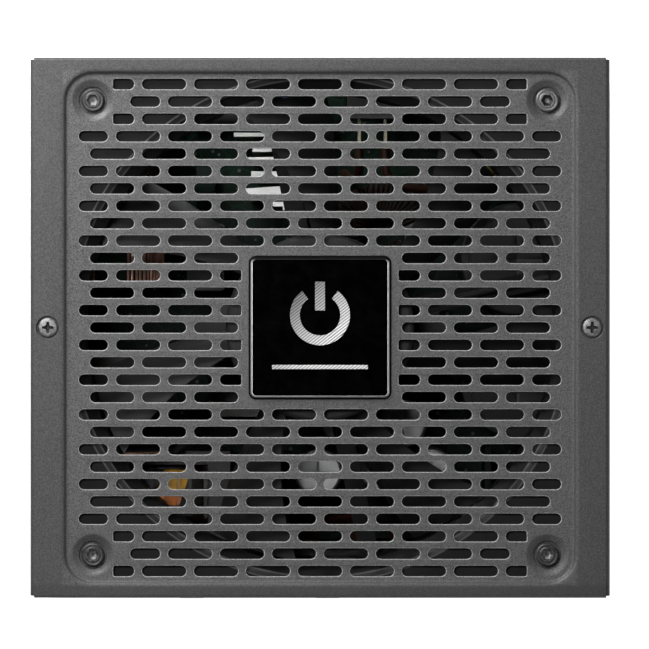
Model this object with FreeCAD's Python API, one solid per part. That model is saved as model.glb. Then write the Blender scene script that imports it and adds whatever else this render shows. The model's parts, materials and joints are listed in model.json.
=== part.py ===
"""Modular computer power supply unit, PS/2 form factor, 150 x 140 x 86 mm.

Millimetres. +Z is up, towards the fan grille. The mains inlet faces +Y and the modular output sockets
face -Y. The origin is the middle of the footprint, on the face that the unit rests on.
"""

import FreeCAD, Part
import math
import os

V = FreeCAD.Vector
X_AXIS, Y_AXIS, Z_AXIS = V(1, 0, 0), V(0, 1, 0), V(0, 0, 1)
CENTRE = V(0, 0, 0)

# ---------------------------------------------------------------- casing
case_w, case_d, case_h = 150.0, 140.0, 86.0
sheet_t = 0.8
bend_r = 1.2  # outside of each bend in the sheet
half_w, half_d = case_w / 2, case_d / 2
wall_in_x = half_w - sheet_t  # inner face of the cover's side walls
wall_in_y = half_d - sheet_t  # inner face of the chassis' end walls
cover_under = case_h - sheet_t
cover_half_d = half_d - 0.6  # the end walls' bends show past the cover
cover_foot = 0.3
chassis_half_w = wall_in_x - 0.15
chassis_top = cover_under - 0.1
lip_w = 1.8
side_flange_h = 8.2
flange_in = chassis_half_w - sheet_t
flange_end = half_d - 10.0
past = 1.0  # how far a cutting tool runs past what it cuts

# pressed grille panel in the cover
recess_depth = 1.0
fan_hole = 58.8  # the fan's screws, from the middle
recess_in, recess_out = 64.9, 66.4
recess_in_r, recess_out_r = recess_in - fan_hole, recess_out - fan_hole
field_half = recess_in - 1.0  # flat part of the panel
panel_top = case_h - recess_depth
panel_under = panel_top - sheet_t
slot_len, slot_w = 11.4, 2.75
slot_pitch_x, slot_pitch_y = 13.45, 4.5
slot_rows = 14  # each side of the middle row
corner_row_end = 53.5  # where the outer slots stop beside the corner dimples
short_slot = (54.9, 62.4)
last_short_row = 11
trimmed_slot_end = 49.1
badge_keep_out = 20.35
square_end_r = 0.5
round_end_r = slot_w / 2 - 0.001

# dimples and screws of the fan
dimple_r, dimple_seat_r, dimple_depth = 5.7, 3.4, 1.4
fan_screw_r, fan_head_r, fan_head_h = 2.1, 3.0, 1.5
fan_screw_hole_r = 2.25
fan_hex, fan_hex_floor, fan_head_edge = 2.5, 0.3, 0.4
dimple_seat = panel_top - dimple_depth
fan_screw_end = dimple_seat - 14.0

# the two cover screws
cover_screw_x = 70.4
pocket_r, pocket_depth = 2.9, 0.8
cover_screw_r, cover_screw_hole_r = 1.4, 1.75
cover_head_r, cover_head_h = 2.55, 0.75
cover_cross = (2.7, 0.65)  # length and width of the driver's cross
cross_drop, head_rounding = 0.65, 0.6  # shares of a pan head's height
tab_t, tab_w, tab_in = 1.0, 14.0, 67.9
pocket_seat = case_h - pocket_depth
tab_top = pocket_seat - sheet_t - 0.05
cover_screw_end = tab_top - 4.0

# badge in the middle of the grille
badge_half_x, badge_half_y, badge_r = 18.0, 18.15, 1.5
badge_edge, badge_edge_cut = 0.55, 0.3
badge_face_drop = 0.25

# ---------------------------------------------------------------- rear panel
mount_holes = [(-69.0, 6.0), (69.0, 6.0), (-69.0, 70.0), (45.0, 80.0)]
mount_minor_r, mount_neck_r = 1.4, 2.5
mount_neck_in = 1.5
inlet_x, inlet_z = 46.0, 26.0
inlet_w, inlet_h = 27.0, 20.0
inlet_bezel_w, inlet_bezel_h = 31.0, 24.5
bezel_t = 1.6
rear_face = half_d + bezel_t
inlet_back, inlet_floor = 52.0, 55.6
inlet_cavity_w, inlet_cavity_h, inlet_cut = 24.4, 16.9, 5.0
inlet_pin_tip = rear_face - 5.0
inlet_tab_end = 45.0
inlet_pins = [(-7.0, -1.5), (7.0, -1.5), (0.0, 2.5)]  # live, neutral, earth
inlet_pin_w, inlet_pin_h = 2.0, 4.0
inlet_tab_t, inlet_tab_h = 0.8, 6.0
inlet_corner_r, switch_corner_r = 2.0, 1.5
cutout_gap = 0.2

switch_x, switch_z = 14.0, 26.0
switch_w, switch_h = 13.2, 19.2
switch_bezel_w, switch_bezel_h = 15.4, 21.4
switch_back = 56.0
switch_cavity_w, switch_cavity_h = 11.0, 18.6
rocker_w, rocker_r = 10.5, 9.0
rocker_pivot_y = 68.4
rocker_front, rocker_back = 3.2, 3.0
rocker_tilt = 10.0
rocker_pin_r, rocker_hole_r = 1.0, 1.05
rocker_pin_reach, rocker_hole_depth = 0.75, 0.9
switch_floor = rocker_pivot_y - 5.2
switch_tab_end = 48.0
switch_tabs = [-3.5, 3.5]
switch_tab_z = 5.0
switch_tab_t, switch_tab_h = 0.8, 4.8

vent_flat, vent_pitch = 6.2, 7.2
vent_x, vent_z0, vent_z1 = 66.0, 9.0, 79.0
vent_margin = 1.6
mount_clear = 6.0

# ---------------------------------------------------------------- fan
fan_half, fan_corner_r = 67.3, 5.0
fan_top = dimple_seat - sheet_t
fan_h = 25.0
fan_bottom = fan_top - fan_h
fan_flange_t = 3.5
fan_bore_r, fan_barrel_r, fan_mouth_r = 61.4, 66.4, 65.9
hub_base_r, hub_base_t = 24.0, 1.5
strut_w, strut_h = 5.0, 2.6
lead_angle = 12.3  # direction in which the fan's lead leaves along a strut
lead_notch_w, lead_notch_h = 3.4, 5.0
tube_outer_r, tube_inner_r = 5.0, 3.5
hub_r, hub_inner_r = 24.5, 23.1
hub_bottom, hub_top = fan_bottom + 5.0, fan_top - 1.5
hub_skin, hub_edge_r = 1.6, 1.2
cup_clear = 0.5
cup_inner_r, cup_t = 22.3, 0.8
magnet_inner_r, magnet_h, magnet_rise = 20.3, 12.0, 1.0
shaft_r, sleeve_bore_r = 1.5, 1.53
boss_r = 4.0
shaft_foot = fan_bottom + 3.4
sleeve_top = fan_bottom + 18.0
boss_bottom = sleeve_top + 1.0
blade_count = 7
blade_tip_r = 60.5
blade_root_r = 23.8
blade_low, blade_high = fan_bottom + 5.6, fan_top - 2.4
blade_t = 1.7
blade_stations = [blade_root_r, 28.0, 34.0, 40.0, 46.0, 52.0, 57.0, 62.0]
stator_r, stator_pole_w, stator_tip_in = 19.6, 6.0, 17.2
stator_h, stator_low = 8.0, fan_bottom + 8.2
stator_core_r, stator_gap_w = 9.0, 2.4
coil_in, coil_out, coil_w, coil_over = 9.0, 15.0, 12.0, 2.0
fan_pcb_r, fan_pcb_t = 20.0, 1.2
lead_d, lead_start = 1.8, 15.5
sleeve_clear = 0.2

# ---------------------------------------------------------------- boards
insulator_z, insulator_t = 1.2, 0.4
board_t = 1.6
main_x, main_y0, main_y1 = 70.0, -57.5, 64.0
main_under = 7.0
board_top = main_under + board_t
standoffs = [(-66.5, 47.5), (66.0, 58.0), (-66.0, -54.0), (66.0, -54.0)]
standoff_r, standoff_hole_r, board_hole_r, sheet_hole_r = 3.0, 1.4, 1.7, 3.2
pan_head_r, pan_head_h, board_screw_end = 2.8, 2.0, 2.4
board_cross = (3.2, 0.8)
modular_x, modular_z0, modular_z1 = 66.0, 5.0, 54.0
modular_back = -58.9
modular_front = modular_back - board_t
busbar_x = [-21.0, -3.0, 9.0, 21.0, 33.0, 54.0]
busbar_w, busbar_t, busbar_h, busbar_foot = 5.0, 1.0, 22.0, 2.6

# ---------------------------------------------------------------- output sockets
socket_face = -rear_face
pin_pitch, socket_wall, socket_h = 4.2, 0.8, 10.6
socket_floor = 1.1
socket_pin, socket_pin_len = 1.1, 5.3
row_top, row_mid, row_low = 47.0, 30.5, 14.0
column_x = [-43.5, -14.5, 14.5, 43.5]
board_sockets = [(-34.0, row_top, 9), (2.0, row_top, 5)]
eight_pin_sockets = [(x, row_mid, 4) for x in column_x]
six_pin_sockets = [(x, row_low, 3) for x in column_x]
graphics_x, graphics_pitch, graphics_columns, graphics_h = 36.0, 3.0, 6, 8.2
latch_w, latch_h = 6.0, 1.2

# ---------------------------------------------------------------- components on the main board
# a choke: core (outer, inner) radii, winding (outer, inner) radii, core width, wound sectors (start, sweep)
front_choke, front_choke_size = (-56.3, 16.0), ((13.5, 7.5), (15.0, 6.0), 9.0, [(-76, 152), (106, 148)])
rear_choke, rear_choke_size = (-54.0, 41.0), ((11.8, 6.6), (13.2, 5.2), 8.0, [(-68, 136), (112, 136)])
pfc_choke, pfc_choke_size = (16.0, 25.0), ((12.6, 7.0), (14.0, 5.6), 11.0, [(20, 320)])
winding_over = 1.5  # how far a winding stands out past its core's sides
x_cap_boxes = [(-66, -40, 52, 62, 18), (-68, -48, 25, 33, 15)]  # x span, y span, height
y_cap_r, y_cap_t, y_cap_x, y_cap_y, y_cap_rise = 4.5, 4.0, [-10, -3], 58.0, 5.5
fuse_r, fuse_len, fuse_place = 3.2, 20.0, (-35.0, 58.0)
thermistor_r, thermistor_t, thermistor_place = 6.5, 5.0, (-33.5, 38.0)
relay_box = (-36, -26, 10, 28, 15)
case_corner_r, relay_corner_r = 1.0, 0.8
foot_rise = 1.5  # the heatsinks stand clear of the board

# heatsink beside the bridge rectifier: a plate, thin fins (y, outer end, thickness) and one broad fin
bridge_plate_x, bridge_plate_y, bridge_plate_top = (-9.8, -8.8), (31.0, 52.5), 55.0
bridge_fins = [
    (51.0, -22.8, 1.0), (46.9, -17.9, 0.9), (44.6, -18.9, 0.9), (40.5, -18.2, 1.6), (32.6, -12.6, 1.2)
]
broad_fin_x, broad_fin_y, broad_fin_turn = (-19.6, -9.5), (35.1, 37.4), 4.0
bridge_x, bridge_y, bridge_z, bridge_edge_r = (-8.8, -4.8), (34.0, 49.0), (14.0, 34.0), 0.6
bridge_legs, leg_w, leg_t = [36, 40, 43, 47], 1.0, 0.8

# primary side
primary_x, primary_y, primary_top = (-34.0, 35.0), (0.0, 3.0), 52.0
primary_fins, primary_fin_t, primary_fin_end = [50.8, 45.0, 39.0], 1.2, -6.0
transistor_x, transistor_w, transistor_t, transistor_z = [-28, -12, 6, 22], 10.0, 4.6, (18.0, 34.0)
transistor_legs, transistor_leg_t, transistor_leg_y = [2.0, 4.6, 7.2], 0.6, (4.8, 5.4)
resonant_box, resonant_r = (-66, -48, -26, -8, 21.4), 2.0
standby_box, standby_r = (-30, -14, -24, -9, 19.4), 1.5

# secondary side
secondary_x, secondary_y, secondary_top = (-14.2, -12.4), (-55.0, -33.5), 46.0
rectifier_y, rectifier_w, rectifier_t, rectifier_z = [-53, -43], 8.0, 2.2, (16.0, 30.0)
coil_r, coil_len, coil_y, coil_x = 3.2, 9.5, -51.8, [1.2, 14.5, 27.8]
daughter_boxes = [(-10.2, -8.6, -55, -33.5, 35.4), (-8, 20, -17, -15.4, 27.4), (44, 45.6, -54.5, -32, 31.4)]
bulk_centres, bulk_r, bulk_h, bulk_edge_r = [(52.0, 18.0), (52.0, -14.5)], 15.0, 45.0, 1.2
output_caps = [(-0.5, -38.6), (14.5, -38.6), (29.5, -38.6), (7.0, -25.5), (22.0, -25.5)]
output_cap_r, output_cap_h, output_cap_edge_r = 6.5, 36.0, 0.8
transformer_x, transformer_y = (-56.0, -24.0), (-56.5, -33.0)
transformer_z = (board_top + 0.6, 43.0)
core_end, core_leg, core_mid_r, tape_rise, tape_r = 6.0, 3.5, 6.0, 1.4, 3.0
litz_d = 2.6
wire_d = 2.4
header_x, header_y = 65.0, -36.0
header_w, header_d, header_h = 7.5, 6.0, 5.0
plug_w, plug_d, plug_top = 7.0, 4.6, 22.0


# ================================================================ helpers
def box(x0, x1, y0, y1, z0, z1):
    """Box between two corners."""
    return Part.makeBox(x1 - x0, y1 - y0, z1 - z0, V(x0, y0, z0))


def block(x, y, z0, w, d, h):
    """Box standing on z0 with its middle at x, y."""
    return box(x - w / 2, x + w / 2, y - d / 2, y + d / 2, z0, z0 + h)


def on_board(x0, x1, y0, y1, height):
    """Box that stands on the main board."""
    return box(x0, x1, y0, y1, board_top, board_top + height)


def drilled(shape, r, places):
    """Shape with upright round holes of a radius right through it."""
    low, tall = shape.BoundBox.ZMin - past, shape.BoundBox.ZLength + 2 * past
    return shape.cut(Part.makeCompound([rod(r, tall, V(x, y, low)) for x, y in places]))


def rod(r, h, base, axis=Z_AXIS):
    """Solid cylinder."""
    return Part.makeCylinder(r, h, base, axis)


def ring(outer, inner, h, base, axis=Z_AXIS):
    """Hollow cylinder."""
    return rod(outer, h, base, axis).cut(rod(inner, h, base, axis))


def rounded_wire(x0, x1, y0, y1, z, r_left, r_right):
    """Rectangle in a level plane, with one corner radius at each end along X."""
    edges = []
    corners = [(x0, y0, r_left, 180), (x1, y0, r_right, 270), (x1, y1, r_right, 0), (x0, y1, r_left, 90)]
    ends = []
    for x, y, r, start in corners:
        cx = x + r if x == x0 else x - r
        cy = y + r if y == y0 else y - r
        arc = Part.Arc(Part.Circle(V(cx, cy, z), Z_AXIS, r), math.radians(start), math.radians(start + 90))
        ends.append(arc.toShape())
    for i, arc in enumerate(ends):
        edges.append(arc)
        here, there = arc.Vertexes[-1].Point, ends[(i + 1) % len(ends)].Vertexes[0].Point
        if here.distanceToPoint(there) > 1e-6:
            edges.append(Part.makeLine(here, there))
    return Part.Wire(edges)


def rounded_square(half_x, half_y, r, z):
    """Wire of a rectangle about the Z axis."""
    return rounded_wire(-half_x, half_x, -half_y, half_y, z, r, r)


def prism(wire, height, axis=Z_AXIS):
    """Solid swept straight from a flat closed wire."""
    return Part.Face(wire).extrude(axis * height)


def turned(profile):
    """Solid turned about Z from (radius, height) points."""
    points = [V(r, 0, z) for r, z in profile]
    return Part.Face(Part.makePolygon(points + points[:1])).revolve(CENTRE, Z_AXIS, 360)


def at_angle(shape, degrees):
    """Copy of a shape turned about Z."""
    copy = shape.copy()
    copy.rotate(CENTRE, Z_AXIS, degrees)
    return copy


def moved(shape, x, y, z=0.0):
    """Copy of a shape shifted."""
    copy = shape.copy()
    copy.translate(V(x, y, z))
    return copy


def joined(shapes):
    """One solid made of touching or overlapping shapes."""
    return shapes[0].multiFuse(shapes[1:]).removeSplitter()


def softened(shape, r, pick):
    """Shape with the edges that pick accepts rounded."""
    return shape.makeFillet(r, [e for e in shape.Edges if pick(e)])


def upright(edge):
    """Is an edge parallel to Z?"""
    a, b = edge.Vertexes[0].Point, edge.Vertexes[-1].Point
    return abs(a.x - b.x) < 1e-6 and abs(a.y - b.y) < 1e-6


def at_height(z):
    """Test for edges that lie level at height z."""
    return lambda edge: abs(edge.BoundBox.ZMin - z) < 1e-6 and abs(edge.BoundBox.ZMax - z) < 1e-6


def lead(name, points, d):
    """Round lead along straight runs joined by arcs, each as large as its two runs allow."""
    points = [V(*p) for p in points]
    edges, last, radii = [], points[0], []
    for before, here, after in zip(points, points[1:], points[2:]):
        into, out = (here - before).normalize(), (after - here).normalize()
        half = into.getAngle(out) / 2
        tangent = 0.45 * min(before.distanceToPoint(here), here.distanceToPoint(after))
        radii.append(tangent / math.tan(half))
        start, end = here - into * tangent, here + out * tangent
        inward = (out - into).normalize()
        middle = here + inward * (radii[-1] / math.cos(half) - radii[-1])
        edges += [Part.makeLine(last, start), Part.Arc(start, middle, end).toShape()]
        last = end
    edges.append(Part.makeLine(last, points[-1]))
    path = Part.Wire(edges)
    section = Part.Wire(Part.Circle(points[0], points[1] - points[0], d / 2).toShape())
    tube = path.makePipeShell([section], True, True)
    expected = math.pi * d * d / 4 * path.Length
    print(name, "radii", [round(r, 1) for r in radii], "volume ratio", round(tube.Volume / expected, 4))
    return tube


def export(name, *solids):
    """Write a node from its separate solids."""
    shape = solids[0] if len(solids) == 1 else Part.makeCompound(list(solids))
    if not shape.isValid() or len(shape.Solids) != len(solids):
        print("CHECK", name, "valid", shape.isValid(), "solids", len(shape.Solids), "of", len(solids))
    shape.exportStep(f"parts/{name}.step")


# ================================================================ casing
def slot_spans():
    """Every slot of the grille as (x0, x1, y, left end radius, right end radius)."""
    spans = []

    def both_sides(inner, outer, y, r_inner=round_end_r, r_outer=round_end_r):
        spans.append((inner, outer, y, r_inner, r_outer))
        spans.append((-outer, -inner, y, r_outer, r_inner))

    for k in range(-slot_rows, slot_rows + 1):
        y, row = k * slot_pitch_y, abs(k)
        beside_badge = row <= 4
        offset, count = (0.0, 5) if k % 2 == 0 else (0.5, 4)
        for n in range(count):
            x = (n + offset) * slot_pitch_x
            inner, outer = x - slot_len / 2, x + slot_len / 2
            if beside_badge and outer < badge_keep_out:
                continue
            if x == 0:
                spans.append((inner, outer, y, round_end_r, round_end_r))
            elif beside_badge and inner < badge_keep_out:
                both_sides(badge_keep_out, outer, y, r_inner=square_end_r)
            elif k % 2 == 0 and n == 4 and row >= 12:
                both_sides(inner, corner_row_end, y, r_outer=square_end_r)
            elif row == 13 and n == 3:
                both_sides(inner, trimmed_slot_end, y)
            else:
                both_sides(inner, outer, y)
        if k % 2 and row <= last_short_row:
            both_sides(*short_slot, y)
    return spans


def make_top_cover():
    """Folded cover: top with the pressed grille, and both side walls."""
    below = -2 * bend_r  # the folded strip's lower bends, cut off again below
    outer = rounded_wire(-half_w, half_w, below, case_h, 0, bend_r, bend_r)
    inner_r = bend_r - sheet_t
    inner = rounded_wire(-wall_in_x, wall_in_x, 2 * below, cover_under, 0, inner_r, inner_r)
    folded = prism(outer, case_d).cut(prism(inner, case_d))
    folded.rotate(CENTRE, X_AXIS, 90)
    folded.translate(V(0, half_d, 0))
    folded = folded.common(box(-half_w, half_w, -cover_half_d, cover_half_d, cover_foot, case_h))
    mouth_wire = rounded_square(recess_out, recess_out, recess_out_r, cover_under - past)
    mouth = prism(mouth_wire, sheet_t + 2 * past)
    folded = folded.cut(mouth)

    def step(z_in, z_out):
        low = rounded_square(recess_in, recess_in, recess_in_r, z_in)
        high = rounded_square(recess_out, recess_out, recess_out_r, z_out)
        return Part.makeLoft([low, high], True, True)

    rim = prism(rounded_square(recess_out, recess_out, recess_out_r, cover_under), sheet_t)
    field_wire = rounded_square(field_half, field_half, recess_in_r, panel_under)
    field = prism(field_wire, case_h - panel_under)
    pressed = step(panel_under, cover_under).fuse(rim).cut(step(panel_top, case_h)).cut(field)

    slots = [
        Part.Face(rounded_wire(x0, x1, y - slot_w / 2, y + slot_w / 2, panel_under, r0, r1))
        for x0, x1, y, r0, r1 in slot_spans()
    ]
    panel = Part.Face(field_wire).cut(Part.makeCompound(slots)).extrude(Z_AXIS * sheet_t)
    dimple = turned([
        (dimple_r, panel_top),
        (dimple_seat_r, dimple_seat),
        (fan_screw_hole_r, dimple_seat),
        (fan_screw_hole_r, dimple_seat - sheet_t),
        (dimple_seat_r, dimple_seat - sheet_t),
        (dimple_r, panel_under),
    ])
    corners = [(sx * fan_hole, sy * fan_hole) for sx in (-1, 1) for sy in (-1, 1)]
    panel = drilled(panel, dimple_r, corners)
    pocket = turned([
        (pocket_r, case_h),
        (pocket_r, pocket_seat),
        (cover_screw_hole_r, pocket_seat),
        (cover_screw_hole_r, pocket_seat - sheet_t),
        (pocket_r + sheet_t, pocket_seat - sheet_t),
        (pocket_r + sheet_t, case_h),
    ])
    sides = [(-cover_screw_x, 0), (cover_screw_x, 0)]
    folded = drilled(folded, pocket_r + sheet_t, sides)
    pieces = [folded, pressed, panel]
    pieces += [moved(dimple, x, y) for x, y in corners]
    pieces += [moved(pocket, x, y) for x, y in sides]
    return joined(pieces)


def hexagon(x, z, flat):
    """Upright hexagon in the plane of the rear wall, one corner up."""
    r = flat / math.sqrt(3)
    turns = [math.radians(60 * i) for i in range(7)]
    return Part.Face(Part.makePolygon([V(x + r * math.sin(a), 0, z + r * math.cos(a)) for a in turns]))


def vent_centres():
    """Places of the rear wall's honeycomb vents, clear of the inlet, the switch and the mounting holes."""
    keep_out = [
        (inlet_x, inlet_z, inlet_bezel_w / 2, inlet_bezel_h / 2),
        (switch_x, switch_z, switch_bezel_w / 2, switch_bezel_h / 2),
    ]
    reach = vent_flat / math.sqrt(3) + vent_margin
    row_step = vent_pitch * math.sqrt(3) / 2
    rows = int((vent_z1 - vent_z0) / row_step)
    centres = []
    for row in range(rows + 1):
        z = vent_z0 + row * row_step
        shift = vent_pitch / 2 if row % 2 else 0.0
        count = int((vent_x - shift) / vent_pitch)
        columns = [shift + i * vent_pitch for i in range(count + 1)]
        for x in sorted({sign * c for c in columns for sign in (-1, 1)}):
            near_part = any(abs(x - kx) < w + reach and abs(z - kz) < h + reach for kx, kz, w, h in keep_out)
            near_hole = any(math.hypot(x - hx, z - hz) < mount_clear for hx, hz in mount_holes)
            if not near_part and not near_hole:
                centres.append((x, z))
    return centres


def all_sockets():
    """Every output socket as (x, z, outer width, outer height)."""
    sockets = [
        (x, z, n * pin_pitch + 2 * socket_wall, socket_h)
        for x, z, n in board_sockets + eight_pin_sockets + six_pin_sockets
    ]
    return sockets + [(graphics_x, row_top, graphics_columns * graphics_pitch + 2 * socket_wall, graphics_h)]


def make_base_chassis():
    """Folded chassis: floor, both end walls with lips, side flanges and the two screw posts."""

    def folded(half, top, r):
        wire = rounded_wire(-half, half, half_d - half, top, 0, r, r)
        shape = prism(wire, 2 * chassis_half_w)
        shape.rotate(CENTRE, X_AXIS, 90)
        shape.rotate(CENTRE, Z_AXIS, 90)
        shape.translate(V(-chassis_half_w, 0, 0))
        return shape

    inside = folded(wall_in_y, chassis_top - sheet_t, bend_r - sheet_t)
    shell = folded(half_d, chassis_top, bend_r).cut(inside)
    lip_in = half_d - lip_w
    shell = shell.cut(box(-half_w, half_w, -lip_in, lip_in, chassis_top - sheet_t - past, chassis_top + past))
    pieces = [shell]
    for side in (-1, 1):
        x0, x1 = sorted((side * flange_in, side * chassis_half_w))
        pieces.append(box(x0, x1, -flange_end, flange_end, sheet_t, sheet_t + side_flange_h))
        pieces.append(box(x0, x1, -tab_w / 2, tab_w / 2, sheet_t, tab_top))
        t0, t1 = sorted((side * tab_in, side * chassis_half_w))
        pieces.append(box(t0, t1, -tab_w / 2, tab_w / 2, tab_top - tab_t, tab_top))
    pieces += [
        rod(mount_neck_r, mount_neck_in, V(x, wall_in_y - mount_neck_in, z), Y_AXIS) for x, z in mount_holes
    ]
    shell = joined(pieces)
    through = mount_neck_in + sheet_t + 2 * past
    cuts = [
        rod(mount_minor_r, through, V(x, wall_in_y - mount_neck_in - past, z), Y_AXIS) for x, z in mount_holes
    ]
    tab_low = tab_top - tab_t - past
    cuts += [rod(cover_screw_r, tab_t + 2 * past, V(x, 0, tab_low)) for x in (-cover_screw_x, cover_screw_x)]

    def cutout(x, z, w, h, wall):
        w, h = w / 2 + cutout_gap, h / 2 + cutout_gap
        return box(x - w, x + w, wall - past, wall + sheet_t + past, z - h, z + h)

    cuts.append(cutout(inlet_x, inlet_z, inlet_w, inlet_h, wall_in_y))
    cuts.append(cutout(switch_x, switch_z, switch_w, switch_h, wall_in_y))
    cuts += [cutout(x, z, w, h, -half_d) for x, z, w, h in all_sockets()]
    for x, z in vent_centres():
        vent = hexagon(x, z, vent_flat)
        vent.translate(V(0, wall_in_y - past, 0))
        cuts.append(vent.extrude(Y_AXIS * (sheet_t + 2 * past)))
    return shell.cut(Part.makeCompound(cuts))


def make_fan_screws():
    """Four hex-socket screws that hold the fan under the cover's dimples."""
    shank = rod(fan_screw_r, dimple_seat - fan_screw_end, V(0, 0, fan_screw_end))
    head = rod(fan_head_r, fan_head_h, V(0, 0, dimple_seat))
    head = head.makeChamfer(fan_head_edge, [e for e in head.Edges if at_height(dimple_seat + fan_head_h)(e)])
    socket = hexagon(0, 0, fan_hex)
    socket.rotate(CENTRE, X_AXIS, 90)
    socket.translate(V(0, 0, dimple_seat + fan_hex_floor))
    screw = head.fuse(shank).cut(socket.extrude(Z_AXIS * fan_head_h)).removeSplitter()
    return [moved(screw, sx * fan_hole, sy * fan_hole) for sx in (-1, 1) for sy in (-1, 1)]


def pan_screw(head_r, head_h, shank_r, seat, end, cross):
    """Cross-head screw on the Z axis with its head on the height seat."""
    head = softened(rod(head_r, head_h, V(0, 0, seat)), head_h * head_rounding, at_height(seat + head_h))
    length, width = cross
    low, deep = seat + head_h * (1 - cross_drop), head_h * cross_drop + past
    driver = block(0, 0, low, length, width, deep).fuse(block(0, 0, low, width, length, deep))
    return head.fuse(rod(shank_r, seat - end, V(0, 0, end))).cut(driver).removeSplitter()


def make_cover_screws():
    """The cover's two cross-head screws."""
    screw = pan_screw(cover_head_r, cover_head_h, cover_screw_r, pocket_seat, cover_screw_end, cover_cross)
    return [moved(screw, x, 0) for x in (-cover_screw_x, cover_screw_x)]


def make_badge():
    """Blank badge: polished frame and dark face."""
    outer = prism(rounded_square(badge_half_x, badge_half_y, badge_r, panel_top), recess_depth)
    outer = outer.makeChamfer(badge_edge_cut, [e for e in outer.Edges if at_height(case_h)(e)])
    face_half_x, face_half_y = badge_half_x - badge_edge, badge_half_y - badge_edge
    hole = rounded_square(face_half_x, face_half_y, badge_r - badge_edge, panel_top)
    frame = outer.cut(prism(hole, recess_depth))
    return frame, prism(hole, recess_depth - badge_face_drop)


# ================================================================ fan
def make_fan_frame():
    """Square fan frame: barrel, two flanges, struts, hub base and bearing tube."""
    flange = prism(rounded_square(fan_half, fan_half, fan_corner_r, fan_bottom), fan_flange_t)
    barrel = rod(fan_barrel_r, fan_h, V(0, 0, fan_bottom))
    frame = joined([flange, moved(flange, 0, 0, fan_h - fan_flange_t), barrel])
    frame = drilled(frame, fan_bore_r, [(0, 0)])
    flare = Part.makeCone(fan_bore_r, fan_mouth_r, fan_flange_t, V(0, 0, fan_top - fan_flange_t))
    frame = frame.cut(flare)
    frame = drilled(frame, fan_screw_r, [(sx * fan_hole, sy * fan_hole) for sx in (-1, 1) for sy in (-1, 1)])
    strut_end = (fan_bore_r + fan_barrel_r) / 2
    strut = box(hub_base_r - past, strut_end, -strut_w / 2, strut_w / 2, fan_bottom, fan_bottom + strut_h)
    hub = rod(hub_base_r, hub_base_t, V(0, 0, fan_bottom))
    hub = hub.fuse(rod(tube_outer_r, sleeve_top - fan_bottom, V(0, 0, fan_bottom)))
    hub = hub.cut(rod(tube_inner_r, fan_h, V(0, 0, shaft_foot - past)))
    frame = joined([frame, hub] + [at_angle(strut, lead_angle + 90 * i) for i in range(4)])
    half, outside = lead_notch_w / 2, math.hypot(fan_half, fan_half)
    notch = box(fan_bore_r - past, outside, -half, half, fan_bottom - past, fan_bottom + lead_notch_h)
    return frame.cut(at_angle(notch, lead_angle))


def blade_edges(r):
    """Angles of a blade's low and high edges, in degrees, at a radius."""
    out = (r - hub_r) / (blade_tip_r - hub_r)
    return 28.0 + 9.0 * out, 43.0 + 16.0 * out


def blade_section(r):
    """Closed cambered section of a blade, flat across the radius r."""
    low, high = blade_edges(r)
    middle = math.radians((low + high) / 2)
    chord = math.radians(high - low) * r
    rise = blade_high - blade_low
    length = math.hypot(chord, rise)
    along, across = (chord / length, rise / length), (-rise / length, chord / length)
    steps = 7
    sides = []
    for side in (1, -1):
        points = []
        for i in range(steps + 1):
            t = i / steps
            camber = 0.09 * length * math.sin(math.pi * t)
            thick = side * blade_t / 2 * math.sqrt(max(math.sin(math.pi * t), 0.0))
            s = (t - 0.5) * length * along[0] + (camber + thick) * across[0]
            h = (t - 0.5) * length * along[1] + (camber + thick) * across[1]
            points.append((s, h))
        sides.append(points)
    radial, tangent = V(math.cos(middle), math.sin(middle), 0), V(-math.sin(middle), math.cos(middle), 0)
    mid_z = (blade_low + blade_high) / 2
    edges = []
    for points in (sides[0], sides[1][::-1]):
        curve = Part.BSplineCurve()
        curve.interpolate([radial * r + tangent * s + Z_AXIS * (mid_z + h) for s, h in points])
        edges.append(curve.toShape())
    return Part.Wire(edges)


def make_impeller():
    """Hub cup with its shaft boss and seven forward-swept blades."""
    hub = rod(hub_r, hub_top - hub_bottom, V(0, 0, hub_bottom))
    hub = softened(hub, hub_edge_r, at_height(hub_top))
    hub = hub.cut(rod(hub_inner_r, hub_top - hub_skin - hub_bottom, V(0, 0, hub_bottom)))
    boss = rod(boss_r, hub_top - hub_skin - boss_bottom, V(0, 0, boss_bottom))
    hub = hub.fuse(boss).cut(rod(shaft_r, hub_top - hub_skin / 2 - boss_bottom, V(0, 0, boss_bottom)))
    blade = Part.makeLoft([blade_section(r) for r in blade_stations], True)
    blade = blade.common(rod(blade_tip_r, fan_h, V(0, 0, fan_bottom)))
    blade = blade.cut(rod(hub_inner_r, fan_h, V(0, 0, fan_bottom)))
    return joined([hub] + [at_angle(blade, 360 / blade_count * i) for i in range(blade_count)])


def make_rotor_cup():
    """Steel cup inside the hub that carries the magnet."""
    top = hub_top - hub_skin
    base = V(0, 0, hub_bottom + cup_clear)
    cup = rod(hub_inner_r, top - base.z, base).cut(rod(cup_inner_r, top - cup_t - base.z, base))
    return drilled(cup, boss_r, [(0, 0)])


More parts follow.
